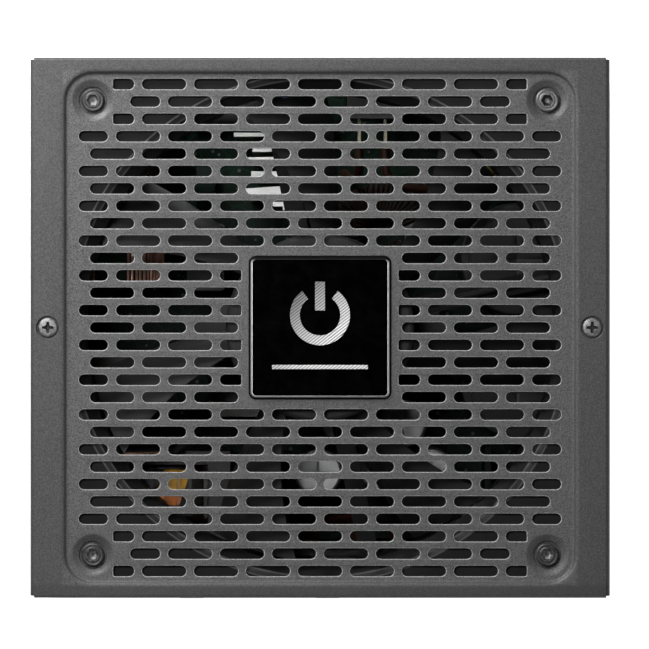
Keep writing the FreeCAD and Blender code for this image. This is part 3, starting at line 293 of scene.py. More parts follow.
# ================================================ materials
class Finish:
    """A procedural material. Its coordinates are the frame's own, in metres."""

    def __init__(self, name, colour, roughness, metallic=0.0, shine=0.5, **sockets):
        self.material = bpy.data.materials.new(name)
        self.material.use_nodes = True
        self.tree = self.material.node_tree
        self.shader = self.tree.nodes["Principled BSDF"]
        self.shader.inputs["Base Color"].default_value = (*colour, 1.0)
        self.shader.inputs["Roughness"].default_value = roughness
        self.shader.inputs["Metallic"].default_value = metallic
        self.shader.inputs["Specular IOR Level"].default_value = shine
        for key, value in sockets.items():
            self.shader.inputs[key.replace("_", " ").title()].default_value = value
        self.where = self.add("TexCoord").outputs["Object"]

    def add(self, kind, **settings):
        node = self.tree.nodes.new("ShaderNode" + kind)
        for key, value in settings.items():
            setattr(node, key, value)
        return node

    def put(self, source, socket):
        """Link an output, or set a plain value."""
        if hasattr(source, "is_output"):
            self.tree.links.new(source, socket)
        elif isinstance(source, tuple) and len(source) == 3 and socket.type == "RGBA":
            socket.default_value = (*source, 1.0)
        else:
            socket.default_value = source

    def stretched(self, x, y, z, turn=0.0):
        """Coordinates turned about Z, then scaled per axis."""
        node = self.add("Mapping")
        node.inputs["Rotation"].default_value = (0.0, 0.0, turn)
        node.inputs["Scale"].default_value = (x, y, z)
        self.put(self.where, node.inputs["Vector"])
        return node.outputs["Vector"]

    def noise(self, size, detail=2.0, rough=0.5, where=None):
        """Noise from 0 to 1 with features of a given size."""
        node = self.add("TexNoise")
        node.inputs["Scale"].default_value = 1.0 / size
        node.inputs["Detail"].default_value = detail
        node.inputs["Roughness"].default_value = rough
        self.put(where or self.where, node.inputs["Vector"])
        return node.outputs["Fac"]

    def cells(self, size, feature="F1"):
        """Cell pattern with cells of a given size."""
        node = self.add("TexVoronoi", feature=feature)
        node.inputs["Scale"].default_value = 1.0 / size
        self.put(self.where, node.inputs["Vector"])
        return node.outputs["Distance"]

    def bands(self, size, profile="SIN", distortion=0.0, where=None):
        """Bands across X, one per size."""
        node = self.add("TexWave", wave_profile=profile)
        node.inputs["Scale"].default_value = math.pi / (10 * size)
        node.inputs["Distortion"].default_value = distortion
        self.put(where or self.where, node.inputs["Vector"])
        return node.outputs["Fac"]

    def axis(self, name):
        """One coordinate."""
        node = self.add("SeparateXYZ")
        self.put(self.where, node.inputs[0])
        return node.outputs[name]

    def levels(self, value, low, high, to_low=0.0, to_high=1.0):
        """Value remapped and clamped."""
        node = self.add("MapRange")
        for socket, amount in zip(node.inputs, (value, low, high, to_low, to_high)):
            self.put(amount, socket)
        return node.outputs["Result"]

    def mix(self, share, a, b, blend="MIX"):
        """Colour between a and b."""
        node = self.add("Mix", data_type="RGBA", blend_type=blend)
        self.put(share, node.inputs[0])
        self.put(a, node.inputs[6])
        self.put(b, node.inputs[7])
        return node.outputs[2]

    def times(self, tone, factor):
        """Tone multiplied by another colour."""
        return self.mix(1.0, tone, factor, "MULTIPLY")

    def maths(self, operation, a, b=0.0):
        node = self.add("Math", operation=operation)
        self.put(a, node.inputs[0])
        self.put(b, node.inputs[1])
        return node.outputs[0]

    def away_from(self, value, place):
        """Distance of a value from a place."""
        return self.maths("ABSOLUTE", self.maths("SUBTRACT", value, place))

    def clouded(self, colour, size, dark, light, detail=3.0):
        """Colour that drifts between a darker and a lighter shade."""
        cloud = self.noise(size, detail)
        return self.mix(self.levels(cloud, 0.3, 0.7), shade(colour, dark), shade(colour, light))

    def other_beyond(self, tone, x, other):
        """Tone up to a place along X, and another colour beyond it."""
        return self.mix(self.levels(self.axis("X"), x, x + 0.3 * MM), tone, other)

    def brushed(self, colour, roughness, along="X"):
        """Fine lines along one axis, in the gloss and the relief too. Returns their colour."""
        scale = {"X": (0.04, 1, 1), "Y": (1, 0.04, 1), "Z": (1, 1, 0.04)}[along]
        lines = self.noise(0.16 * MM, detail=4.0, rough=0.7, where=self.stretched(*scale))
        self.roughness(self.levels(lines, 0.3, 0.7, roughness - 0.07, roughness + 0.12))
        self.bump(lines, 0.006 * MM, 0.8)
        return self.mix(self.levels(lines, 0.3, 0.7), shade(colour, 0.8), shade(colour, 1.1))

    def colour(self, source):
        self.put(source, self.shader.inputs["Base Color"])

    def roughness(self, source):
        self.put(source, self.shader.inputs["Roughness"])

    def bump(self, height, depth, strength):
        """Add relief of a given depth over what is there already."""
        node = self.add("Bump")
        node.inputs["Distance"].default_value = depth
        node.inputs["Strength"].default_value = strength
        self.put(height, node.inputs["Height"])
        normal = self.shader.inputs["Normal"]
        if normal.is_linked:
            self.put(normal.links[0].from_socket, node.inputs["Normal"])
        self.put(node.outputs["Normal"], normal)


def shade(colour, factor):
    """Colour made lighter or darker."""
    return tuple(min(c * factor, 1.0) for c in colour)


def grey(value):
    return (value, value, value)


def powder_coat(name, base=grey(0.035)):
    """Dark grey textured paint baked on steel, with painted shade darkening it outside the pressed panel,
    most at the front.
    """
    made = Finish(name, base, 0.55)
    speckle = made.noise(0.3 * MM, rough=0.6)
    cloud = made.noise(28 * MM)
    tone = made.mix(made.levels(speckle, 0.36, 0.64), shade(base, 0.35), shade(base, 1.8))
    tone = made.mix(made.levels(cloud, 0.3, 0.7, 0.0, 0.16), tone, shade(base, 1.5))
    x, y = (made.maths("ABSOLUTE", made.axis(axis)) for axis in ("X", "Y"))
    # painted shade: the coat is darkened outside the pressed panel, and most along the front border
    outside = made.levels(made.maths("MAXIMUM", x, y), recess_half + 1.2 * MM, recess_half + 2.2 * MM)
    front = made.levels(made.axis("Y"), -recess_half - 2.4 * MM, -recess_half - 1.2 * MM)
    painted_border_shade = made.times(tone, made.mix(front, grey(0.32), grey(0.56)))
    made.colour(made.mix(outside, tone, painted_border_shade))
    made.roughness(made.levels(speckle, 0.3, 0.7, 0.62, 0.42))
    made.bump(made.noise(0.36 * MM), 0.05 * MM, 0.55)
    made.bump(made.noise(1.6 * MM), 0.05 * MM, 0.35)
    return made.material


def fan_frame_plastic():
    """Moulded plastic with painted highlights round the fan's mouth: two fine bright lines and a paler lip
    between them.
    """
    base = grey(0.006)
    inner, outer = 64.6 * MM, 66.1 * MM
    made = Finish("fan_frame_plastic", base, 0.55, shine=0.14)
    x, y = made.axis("X"), made.axis("Y")
    squares = made.maths("ADD", made.maths("MULTIPLY", x, x), made.maths("MULTIPLY", y, y))
    radius = made.maths("SQRT", squares)
    # painted highlights: two bright lines round the mouth and a paler lip between them
    lines = [made.levels(made.away_from(radius, r), 0.1 * MM, 0.3 * MM, 1.0, 0.0) for r in (inner, outer)]
    half = (outer - inner) / 2
    lip = made.levels(made.away_from(radius, inner + half), half - 0.1 * MM, half, 1.0, 0.0)
    tone = made.mix(lip, made.clouded(base, 9 * MM, 0.7, 1.4), grey(0.035))
    made.colour(made.mix(made.maths("MAXIMUM", *lines), tone, grey(0.085)))
    made.bump(made.noise(0.25 * MM), 0.012 * MM, 0.7)
    return made.material


def moulded(name, colour, roughness, shine=0.5):
    """Moulded plastic with a fine spark-eroded grain."""
    made = Finish(name, colour, roughness, shine=shine)
    made.colour(made.clouded(colour, 9 * MM, 0.85, 1.2))
    made.roughness(made.levels(made.noise(3 * MM), 0.3, 0.7, roughness - 0.06, roughness + 0.08))
    made.bump(made.noise(0.25 * MM), 0.012 * MM, 0.7)
    return made.material


def brushed(name, colour, roughness, along="X", wear=0.2, shaded_below=None):
    """Stained metal with fine lines along one axis, with painted shade below a height if one is given."""
    made = Finish(name, colour, roughness, 1.0)
    stain = made.levels(made.noise(5 * MM, detail=4.0), 0.45, 0.75, 0.0, wear)
    tone = made.mix(stain, made.brushed(colour, roughness, along), shade(colour, 0.45))
    if shaded_below:
        # painted shade: the colour is darkened below that height
        low = made.levels(made.axis("Z"), shaded_below - 0.5 * MM, shaded_below, 1.0, 0.0)
        tone = made.mix(low, tone, made.times(tone, grey(0.3)))
    made.colour(tone)
    return made.material


def board(name, colour, copper):
    """Circuit board: lacquer over copper traces, with tinned pads."""
    made = Finish(name, colour, 0.5, shine=0.1)
    track = made.levels(made.cells(6.5 * MM, feature="DISTANCE_TO_EDGE"), 0.045, 0.06)
    tone = made.mix(track, copper, colour)
    pads = made.levels(made.cells(3.4 * MM), 0.13, 0.16, 1.0, 0.0)
    made.colour(made.mix(pads, tone, grey(0.06)))
    made.bump(track, 0.04 * MM, 0.6)
    made.bump(made.cells(0.9 * MM), 0.008 * MM, 0.4)
    return made.material


def litz_bundle():
    """Bundle of fine bare strands that comes out of a black sleeve."""
    made = Finish("litz", (0.5, 0.24, 0.12), 0.4, 0.5)
    strands = made.noise(0.5 * MM, detail=4.0, rough=0.7, where=made.stretched(0.2, 1, 1))
    tone = made.mix(made.levels(strands, 0.35, 0.65), (0.16, 0.05, 0.03), (0.75, 0.42, 0.26))
    sleeved = made.levels(made.axis("X"), litz_sleeve_x, litz_sleeve_x + 0.5 * MM)
    made.colour(made.mix(sleeved, tone, grey(0.008)))
    made.bump(strands, 0.12 * MM, 0.9)
    return made.material


def enamelled(name, colour, roughness=0.24, metallic=0.75, coat=0.6, shine=0.5, beyond=None, other=None):
    """Enamelled winding wire: lacquer over copper, in another colour beyond a place along X."""
    made = Finish(name, colour, roughness, metallic, shine, Coat_Weight=coat, Coat_Roughness=0.3)
    tone = made.clouded(colour, 2.2 * MM, 0.7, 1.3)
    made.colour(made.other_beyond(tone, beyond, other) if other else tone)
    made.bump(made.noise(0.4 * MM), 0.01 * MM, 0.5)
    return made.material


def insulation(name, colour, beyond=None, other=None):
    """Soft lead insulation, plain or in another colour beyond a place along X."""
    made = Finish(name, colour, 0.46, shine=0.12)
    tone = made.clouded(colour, 2.5 * MM, 0.8, 1.2, detail=2.0)
    made.colour(made.other_beyond(tone, beyond, other) if other else tone)
    made.bump(made.noise(0.5 * MM), 0.01 * MM, 0.5)
    return made.material


def ferrite(name, colour, roughness=0.55):
    """Fired ceramic, slightly pitted."""
    made = Finish(name, colour, roughness)
    made.colour(made.mix(made.noise(1.2 * MM, detail=4.0), shade(colour, 0.6), shade(colour, 1.5)))
    made.bump(made.cells(0.5 * MM), 0.03 * MM, 0.5)
    return made.material


def glossy(name, colour, roughness, **sockets):
    """Lacquered or filled plastic surface with a little waviness."""
    made = Finish(name, colour, roughness, **sockets)
    made.colour(made.clouded(colour, 4 * MM, 0.85, 1.15))
    made.bump(made.noise(2 * MM), 0.02 * MM, 0.25)
    return made.material


def wrapped_tape(name, colour, patch=None):
    """Polyester tape wound in layers over a bobbin, with painted shade: darker in creases, near black
    outside a lit patch.
    """
    made = Finish(name, colour, 0.3, Coat_Weight=0.3)
    laps = made.bands(3.2 * MM, profile="SAW", distortion=1.2)
    crease = made.noise(1.5 * MM, detail=3.0)
    tone = made.mix(made.levels(laps, 0.0, 1.0), shade(colour, 0.55), shade(colour, 1.15))
    # painted shade: darker in the creases
    tone = made.mix(made.levels(crease, 0.45, 0.7, 0.0, 0.5), tone, shade(colour, 0.4))
    if patch:
        (x0, y0), (x1, y1) = patch
        y = made.axis("Y")
        upper = made.levels(y, y0 + 2.6 * MM, y0 + 3.6 * MM)
        tone = made.mix(upper, made.times(tone, (1.0, 0.5, 0.3)), tone)
        slant = made.maths("MULTIPLY", made.maths("SUBTRACT", y, y1), 0.35)
        leaned_x = made.maths("SUBTRACT", made.axis("X"), slant)
        # painted shade: near black outside the slanted patch between the two corners, which stays lit
        for along, low, high in ((leaned_x, x0, x1), (y, y0, y1)):
            off, half = made.away_from(along, (low + high) / 2), (high - low) / 2
            tone = made.mix(made.levels(off, half, half + 0.2 * MM), tone, (0.006, 0.004, 0.003))
    made.colour(tone)
    made.bump(laps, 0.12 * MM, 0.6)
    made.bump(crease, 0.1 * MM, 0.5)
    return made.material


def badge_gloss():
    """Black lacquered face of the badge, with the faintest haze."""
    made = Finish("badge_face", grey(0.0006), 0.07, shine=0.3, Coat_Weight=0.5, Coat_Roughness=0.03)
    haze = made.noise(3 * MM, detail=5.0)
    made.colour(made.mix(made.levels(haze, 0.4, 0.7), grey(0.0003), grey(0.0008)))
    made.roughness(made.levels(haze, 0.3, 0.8, 0.05, 0.1))
    return made.material


def badge_trim(half):
    """Polished edge of the badge, with painted shade: dark along its upper run and dimmer along its lower
    one.
    """
    bright = grey(0.38)
    made = Finish("polished_edge", bright, 0.34, 1.0)
    tone = made.brushed(bright, 0.34)
    y = made.axis("Y")
    # painted shade: dimmer along the lower run
    lower = made.levels(y, -half + 0.3 * MM, -half + 1.2 * MM, 1.0, 0.0)
    tone = made.mix(lower, tone, made.times(tone, grey(0.4)))
    # painted shade: near black along the upper run
    made.colour(made.mix(made.levels(y, half - 1.4 * MM, half - 0.5 * MM), tone, grey(0.01)))
    return made.material


def hatched_silver():
    """Bright metal with fine diagonal engraved lines."""
    base = grey(0.31)
    made = Finish("hatched_silver", base, 0.42, 1.0)
    diagonal = made.stretched(1, 1, 1, turn=math.radians(52))
    lines = made.bands(0.62 * MM, where=diagonal)
    sweep = made.levels(made.maths("SUBTRACT", made.axis("Y"), made.axis("X")), -6 * MM, 13 * MM)
    tone = made.mix(sweep, shade(base, 1.5), shade(base, 0.4))
    made.colour(made.mix(made.levels(lines, 0.25, 0.6), made.times(tone, grey(0.42)), tone))
    made.roughness(made.levels(lines, 0.2, 0.7, 0.55, 0.36))
    made.bump(lines, 0.03 * MM, 0.6)
    return made.material


def screw_steel(name, near, far):
    """Black oxide on steel, in another tone on the screw that stands furthest towards +X and +Y."""
    made = Finish(name, near, 0.42, 0.85)
    across = made.maths("ADD", made.axis("X"), made.axis("Y"))
    corner = made.levels(across, far_screw_from, far_screw_from + 5 * MM)
    wear = made.levels(made.noise(0.7 * MM, detail=3.0), 0.35, 0.65)
    tone = made.mix(wear, shade(near, 0.7), shade(near, 1.4))
    made.colour(made.mix(corner, tone, made.mix(wear, shade(far, 0.85), far)))
    made.roughness(made.levels(wear, 0.0, 1.0, 0.36, 0.5))
    made.bump(made.noise(0.3 * MM), 0.01 * MM, 0.6)
    return made.material


def paint(material, *names):
    """Give CAD nodes a material."""
    for name in names:
        mesh = nodes[name].data
        mesh.materials.clear()
        mesh.materials.append(material)


# ================================================ cover
def slot_outlines():
    """Every slot of the grille as (x0, x1, middle y, left end radius, right end radius)."""
    spans = []

    def both_sides(inner, outer, y, r_inner=slot_end_r, r_outer=slot_end_r):
        spans.append((inner, outer, y, r_inner, r_outer))
        spans.append((-outer, -inner, y, r_outer, r_inner))

    for k in range(-slot_rows, slot_rows + 1):
        y, row = k * slot_pitch_y, abs(k)
        beside_badge = row <= last_badge_row
        offset, count = (0.0, 5) if k % 2 == 0 else (0.5, 4)
        for n in range(count):
            x = (n + offset) * slot_pitch_x
            inner, outer = x - slot_len / 2, x + slot_len / 2
            if beside_badge and outer < badge_keep_out:
                continue
            if x == 0:
                spans.append((inner, outer, y, slot_end_r, slot_end_r))
            elif beside_badge and inner < badge_keep_out:
                both_sides(badge_keep_out, outer, y, r_inner=square_end_r)
            elif n == count - 1 and row == trimmed_row:
                both_sides(inner, trimmed_slot_end, y)
            elif n == count - 1 and row > last_short_row:
                both_sides(inner, corner_row_end, y, r_outer=square_end_r)
            else:
                both_sides(inner, outer, y)
        if k % 2 and row <= last_short_row:
            both_sides(*short_slot, y)
    return spans


def slot_walls(bm, x0, x1, y, r_left, r_right):
    """Rounded edge and wall of one slot. Returns its loops in the panel's top and underside."""
    def ring(grow, z):
        points = outline(x0, x1, y - slot_w / 2, y + slot_w / 2, r_left, r_right, grow)
        return ring_of(bm, at_height(points, z))

    rings = [ring(back, panel_z - down) for back, down in rounding(edge_r)]
    # painted highlight: the rounded edge takes the second material, a much lighter coat
    second_material(bm, lambda: skin(bm, rings))
    bottom = ring(0.0, panel_z - sheet_t)
    bridge(bm, rings[-1], bottom)
    return rings[0], bottom


def pressed_ring(bm, cx, cy, profile):
    """Round pressing in the sheet. Returns its first and last loops."""
    rings = turned(bm, cx, cy, profile, cap=False)
    return rings[0], rings[-1]


def recess_step(bm, profile, corner_r):
    """Step round the pressed panel from (half size, height) pairs. Returns its first and last loops."""
    rings = []
    for half, z in profile:
        r = corner_r + (half - profile[-1][0])
        rings.append(ring_of(bm, at_height(outline(-half, half, -half, half, r, r, steps=12), z)))
    skin(bm, rings)
    return rings[0], rings[-1]


def fold_profile(steps=6):
    """Section of the cover across X as (point, outward direction), from foot to foot."""
    wall, foot, top = cover_high.x, cover_low.z + edge_r, cover_high.z
    points = [((-wall, foot), (-1.0, 0.0))]
    for side, start in ((-1, 180), (1, 90)):
        cx = side * (wall - bend_r)
        for i in range(steps + 1):
            a = math.radians(start - 90 * i / steps)
            way = (math.cos(a), math.sin(a))
            points.append(((cx + bend_r * way[0], top - bend_r + bend_r * way[1]), way))
    points.append(((wall, foot), (1.0, 0.0)))
    return points


def cover_shell(bm):
    """Folded sheet without its flat top: walls, bends and edges. Returns the top's outer and inner loops."""
    section = fold_profile()

    def rim(depth, grow):
        loop = []
        for side in (-1, 1):
            y = side * (cover_high.y - edge_r + grow)
            line = []
            for (x, z), (nx, nz) in section:
                foot = grow if nz == 0.0 and z < cover_low.z + 2 * edge_r else 0.0
                line.append((x - nx * depth, y, z - nz * depth - foot))
            loop += line if side < 0 else line[::-1]
        return ring_of(bm, loop)

    rims = [rim(down, edge_r - back) for back, down in rounding(edge_r)] + [rim(sheet_t, edge_r)]
    skin(bm, rims)
    last, tops = len(section) - 1, []
    for loop in (rims[0], rims[-1]):
        for i in range(last):
            across = [loop[i], loop[i + 1], loop[2 * last - i], loop[2 * last + 1 - i]]
            if i == last // 2:
                tops.append(across)
            else:
                bm.faces.new(across)
    return tops


def pocket_section():
    """Section of the pocket round a cover screw, as (radius, height) pairs."""
    top, seat, pocket_r, hole_r, under_r = cover_high.z, cover_screw_seat, 2.9 * MM, 1.75 * MM, 3.6 * MM
    section = [(pocket_r + back, top - down) for back, down in rounding(edge_r)]
    section += [(pocket_r, seat), (hole_r, seat), (hole_r, seat - sheet_t), (under_r, seat - sheet_t)]
    return section + [(under_r, top - sheet_t)]


def make_cover(material, edge_highlight_material):
    """Cover with its pressed grille, screw dimples and pockets, as one sheet."""
    bm = bmesh.new()
    outer_top, outer_under = cover_shell(bm)
    outside, inside = recess_step(bm, below(cover_high.z, recess_section), recess_half - fan_hole)
    under_half, step_w = recess_half + 0.2 * MM, 1.3 * MM
    under_step = [(under_half + step_w, cover_high.z - sheet_t), (under_half, panel_z - sheet_t)]
    outside_under, inside_under = recess_step(bm, under_step, under_half - fan_hole)
    slots = [slot_walls(bm, *span) for span in slot_outlines()]
    dimple = below(panel_z, dimple_section)
    corners = [(x, y) for x in (-fan_hole, fan_hole) for y in (-fan_hole, fan_hole)]
    dimples = [pressed_ring(bm, x, y, dimple) for x, y in corners]
    pocket = pocket_section()
    pockets = [pressed_ring(bm, x, 0.0, pocket) for x in (-cover_screw_x, cover_screw_x)]
    fill(bm, [outer_top, outside] + [p[0] for p in pockets])
    fill(bm, [inside] + [s[0] for s in slots] + [d[0] for d in dimples])
    fill(bm, [inside_under] + [s[1] for s in slots] + [d[1] for d in dimples])
    fill(bm, [outer_under, outside_under] + [p[1] for p in pockets])
    finished(bm, "folded_cover", "housing", material, ["top_cover"], edge_highlight_material)


# ================================================ badge
def make_badge_mark(material):
    """Plain power sign over a plain line on the badge, in raised metal."""
    low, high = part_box("badge_plate")
    centre = (low + high) / 2
    face, thick, sunk, bevel = high.z, 0.16 * MM, 0.02 * MM, 0.05 * MM
    ring_r, half_w, gap, steps = 6.5 * MM, 1.3 * MM, math.radians(36), 64
    cy = centre.y + 3.2 * MM
    stem_from, stem_to = cy + 1.2 * MM, cy + ring_r + 2.2 * MM
    line_y, line_half, line_half_w = centre.y - 10.2 * MM, 12.4 * MM, 0.55 * MM
    bm = bmesh.new()
    profile = [(half_w, 0.0), (half_w - bevel, thick), (bevel - half_w, thick), (-half_w, 0.0)]
    points = [(ring_r + out, face + up) for out, up in profile]
    sections = []
    for i in range(steps + 1):
        a = math.pi / 2 + gap + (2 * math.pi - 2 * gap) * i / steps
        way_x, way_y = math.cos(a), math.sin(a)
        sections.append(ring_of(bm, [(centre.x + r * way_x, cy + r * way_y, z) for r, z in points]))
    skin(bm, sections)
    bm.faces.new(sections[0])
    bm.faces.new(sections[-1])
    bars = ((half_w, stem_from, stem_to), (line_half, line_y - line_half_w, line_y + line_half_w))
    for half, y0, y1 in bars:
        soft_box(bm, (centre.x - half, y0, face - sunk), (centre.x + half, y1, face + thick), bevel)
    finished(bm, "badge_power_sign", "housing", material)


def make_badge_shadow_ring(material):
    """Thin black ring round the badge, a painted shadow in the gap round it."""
    low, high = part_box("badge_frame")
    past_and_up = ((0.02, 0.0), (0.02, 0.16), (0.3, 0.16), (0.44, 0.1), (0.5, 0.0))  # mm
    bm = bmesh.new()
    r, rings = 1.5 * MM, []
    for grow, up in past_and_up:
        points = outline(low.x, high.x, low.y, high.y, r, r, grow=grow * MM)
        rings.append(ring_of(bm, at_height(points, panel_z + up * MM)))
    skin(bm, rings + rings[:1])
    finished(bm, "badge_shadow_ring", "housing", material)


# ================================================ screws
def cross_ring(bm, cx, cy, half, tip, reach, z):
    """Ring of vertices round a cross whose arms taper from one half width to another."""
    points = []
    for quarter in range(4):
        a = -math.pi / 2 * quarter
        for x, y in ((half, half), (reach, tip), (reach, -tip)):
            points.append((cx + x * math.cos(a) - y * math.sin(a), cy + x * math.sin(a) + y * math.cos(a)))
    return ring_of(bm, at_height(points, z))


def make_cover_screws(material, recess_shade_material):
    """The cover's two screws: low heads with a cross recess for the driver."""
    shank_r, chamfer, cross_depth = 1.4 * MM, 0.2 * MM, 0.6 * MM
    cross, cross_floor = (0.46 * MM, 0.3 * MM, 1.5 * MM), (0.26 * MM, 0.12 * MM, 0.9 * MM)
    bm = bmesh.new()
    for low, high in solids("cover_screws"):
        cx, cy, r, top = (low.x + high.x) / 2, (low.y + high.y) / 2, (high.x - low.x) / 2, high.z
        profile = [(shank_r - chamfer, low.z), (shank_r, low.z + 2 * chamfer), (shank_r, cover_screw_seat)]
        profile.append((r, cover_screw_seat))
        for back, down in ((0.0, 0.35), (0.06, 0.2), (0.2, 0.06), (0.4, 0.0)):
            profile.append((r - back * MM, top - down * MM))
        rings = turned(bm, cx, cy, profile, cap=False)
        bm.faces.new(rings[0])
        groove = cross_ring(bm, cx, cy, *cross, top)
        floor = cross_ring(bm, cx, cy, *cross_floor, top - cross_depth)
        # painted shade: the cross recess takes the near-black second material
        second_material(bm, lambda: (skin(bm, [groove, floor]), fill(bm, [floor])))
        fill(bm, [rings[-1], groove])
    finished(bm, "cross_head_screws", "housing", material, ["cover_screws"], recess_shade_material)


def hexagon_ring(bm, cx, cy, flat, z, steps=48):
    """Ring of vertices round a hexagon with a given width across its flats."""
    points = []
    for i in range(steps):
        a = 2 * math.pi * i / steps
        r = flat / 2 / math.cos((a % (math.pi / 3)) - math.pi / 6)
        points.append((cx + r * math.cos(a), cy + r * math.sin(a)))
    return ring_of(bm, at_height(points, z))


def make_fan_screws(material, lit_facets):
    """The fan's screws: round heads with a rim, a ring-shaped groove and a hex socket with a painted
    highlight.
    """
    shank_r, chamfer = fan_screw_head[0][0] * MM, 0.3 * MM
    bm = bmesh.new()
    for low, high in solids("fan_screws"):
        cx, cy, top = (low.x + high.x) / 2, (low.y + high.y) / 2, high.z
        profile = [(shank_r - chamfer, low.z), (shank_r, low.z + chamfer)]
        rings = turned(bm, cx, cy, profile + below(top, fan_screw_head), cap=False)
        inner = [hexagon_ring(bm, cx, cy, flat, z) for flat, z in below(top, hex_socket)]
        skin(bm, [rings[-1]] + inner[:1])
        # painted highlight: the socket's inner faces take the lighter second material
        second_material(bm, lambda: skin(bm, inner))
        bm.faces.new(inner[-1])
        bm.faces.new(rings[0])
    finished(bm, "hex_socket_screws", "housing", material, ["fan_screws"], lit_facets)


# ================================================ wound parts
def wound_sector(bm, core_r, width, wire_r, start, sweep, step, place):
    """Turns of wire round a sector of a ring core. core_r is (outer, inner), place is the core's matrix."""
    outer, inner = core_r
    half = width / 2 + wire_r
    corner = 1.6 * wire_r
    loop = outline(inner - wire_r, outer + wire_r, -half, half, corner, corner, steps=3)
    turns = int(sweep / step)
    path = []
    for turn in range(turns):
        deeper = 1.7 * wire_r if turn % 2 else 0.0
        wander = rng.uniform(-0.12, 0.12) * step
        lift = rng.uniform(0.0, 0.12) * wire_r
        for i, (r, z) in enumerate(loop):
            a = math.radians(start + step * (turn + i / len(loop)) + wander)
            r = r - deeper if r < (outer + inner) / 2 else r + lift
            path.append(place @ Vector((r * math.cos(a), r * math.sin(a), z)))
    strand(bm, path, wire_r)


def make_filter_chokes(copper, shaded_copper):
    """Turns of the two chokes that stand on edge, each wound in two halves."""
    wire_r, pitch = 0.33 * MM, 1.28 * MM
    halves = (((-76, 152), (106, 148)), ((-68, 136), (112, 136)))  # (start, sweep) in degrees
    cores = sorted(solids("filter_choke_cores"), key=lambda box: box[0].y)
    names = ("front_choke_turns", "rear_choke_turns")
    # the rear choke takes the near-black wire, painted shade
    for name, wire, sectors, (low, high) in zip(names, (copper, shaded_copper), halves, cores):
        bm = bmesh.new()
        outer = (high.x - low.x) / 2
        place = Matrix.Translation((low + high) / 2) @ Matrix.Rotation(math.pi / 2, 4, "X")
        step = math.degrees(pitch / (outer + wire_r))
        for start, sweep in sectors:
            wound_sector(bm, (outer, core_hole * outer), high.y - low.y, wire_r, start, sweep, step, place)
        stands_for = ["filter_choke_windings"] if name == names[0] else []
        finished(bm, name, "housing", wire, stands_for)


def make_pfc_choke(wire):
    """Turns of the choke that lies flat."""
    bm = bmesh.new()
    (low, high), wire_r, start, sweep = solids("pfc_choke_core")[0], 0.7 * MM, 20, 320
    outer = (high - low).x / 2
    step = math.degrees(2.1 * wire_r / (outer + wire_r))
    place = Matrix.Translation((low + high) / 2)
    wound_sector(bm, (outer, core_hole * outer), (high - low).z, wire_r, start, sweep, step, place)
    finished(bm, "pfc_choke_turns", "housing", wire, ["pfc_choke_winding"])


def make_transformer_winding(tape):
    """Layers of tape over the main transformer's bobbin, crowned in the middle."""
    low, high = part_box("transformer_winding")
    bm = bmesh.new()
    steps, lap, flange = 40, 3.1 * MM, 0.06
    deepest, crown_rise, lap_rise, corner_r = 1.25 * MM, 1.1 * MM, 0.14 * MM, 2.6 * MM
    sections = []
    for i in range(steps + 1):
        share = i / steps
        x = low.x + (high.x - low.x) * share
        crown = crown_rise * math.sin(math.pi * share) ** 0.6
        crease = lap_rise * (((x - low.x) / lap) % 1.0)
        inset = deepest - crown + crease
        if share < flange or share > 1 - flange:
            inset = 0.0
        y0, y1, z0, z1 = low.y + inset, high.y - inset, low.z + inset, high.z - inset
        ring = outline(y0, y1, z0, z1, corner_r, corner_r, steps=5)
        sections.append(ring_of(bm, [(x, y, z) for y, z in ring]))
    skin(bm, sections)
    bm.faces.new(sections[0])
    bm.faces.new(sections[-1])
    finished(bm, "transformer_tape", "housing", tape, ["transformer_winding"])


# ================================================ capacitors
def scored_top(bm, cx, cy, r, z, depth, thick, steps):
    """Disc with a cross pressed into its top."""
    reach, half = 0.62 * r, 0.07 * r
    rim = ring_of(bm, at_height(circle(cx, cy, r, steps), z))
    foot = ring_of(bm, at_height(circle(cx, cy, r, steps), z - thick))
    groove = cross_ring(bm, cx, cy, half, half, reach, z)
    floor = cross_ring(bm, cx, cy, 0.3 * half, 0.3 * half, reach - 0.7 * half, z - depth)
    skin(bm, [foot, rim])
    skin(bm, [groove, floor])
    bm.faces.new(foot)
    fill(bm, [rim, groove])
    fill(bm, [floor])


def make_capacitors(node, prefix, material, lip_share):
    """Round capacitors with a crimp near the foot and a scored top inside a lip."""
    crimp = ((0.5, 0.0), (0.0, 0.5), (0.0, 2.4), (0.3, 2.7), (0.7, 3.3), (0.3, 3.9), (0.0, 4.2))
    shoulder = ((0.0, 0.8), (0.12, 0.35), (0.4, 0.08), (0.8, 0.0))
    steps, drop, gap, score = 56, 0.25 * MM, 0.02 * MM, 0.2 * MM
    body, tops = bmesh.new(), bmesh.new()
    for low, high in solids(node):
        cx, cy, r = (low.x + high.x) / 2, (low.y + high.y) / 2, (high.x - low.x) / 2
        lip_r = r - lip_share * r
        well_r = lip_r - 0.1 * MM
        profile = [(r - back * MM, low.z + up * MM) for back, up in crimp]
        profile += [(r - back * MM, high.z - down * MM) for back, down in shoulder]
        profile += [(lip_r, high.z - 0.04 * MM), (well_r, high.z - drop), (well_r, high.z - 4 * drop)]
        turned(body, cx, cy, profile, steps)
        scored_top(tops, cx, cy, well_r - gap, high.z - drop, score, 2 * drop, steps)
    finished(body, prefix + "_bodies", "housing", material, [node])
    finished(tops, prefix + "_tops", "housing", material)


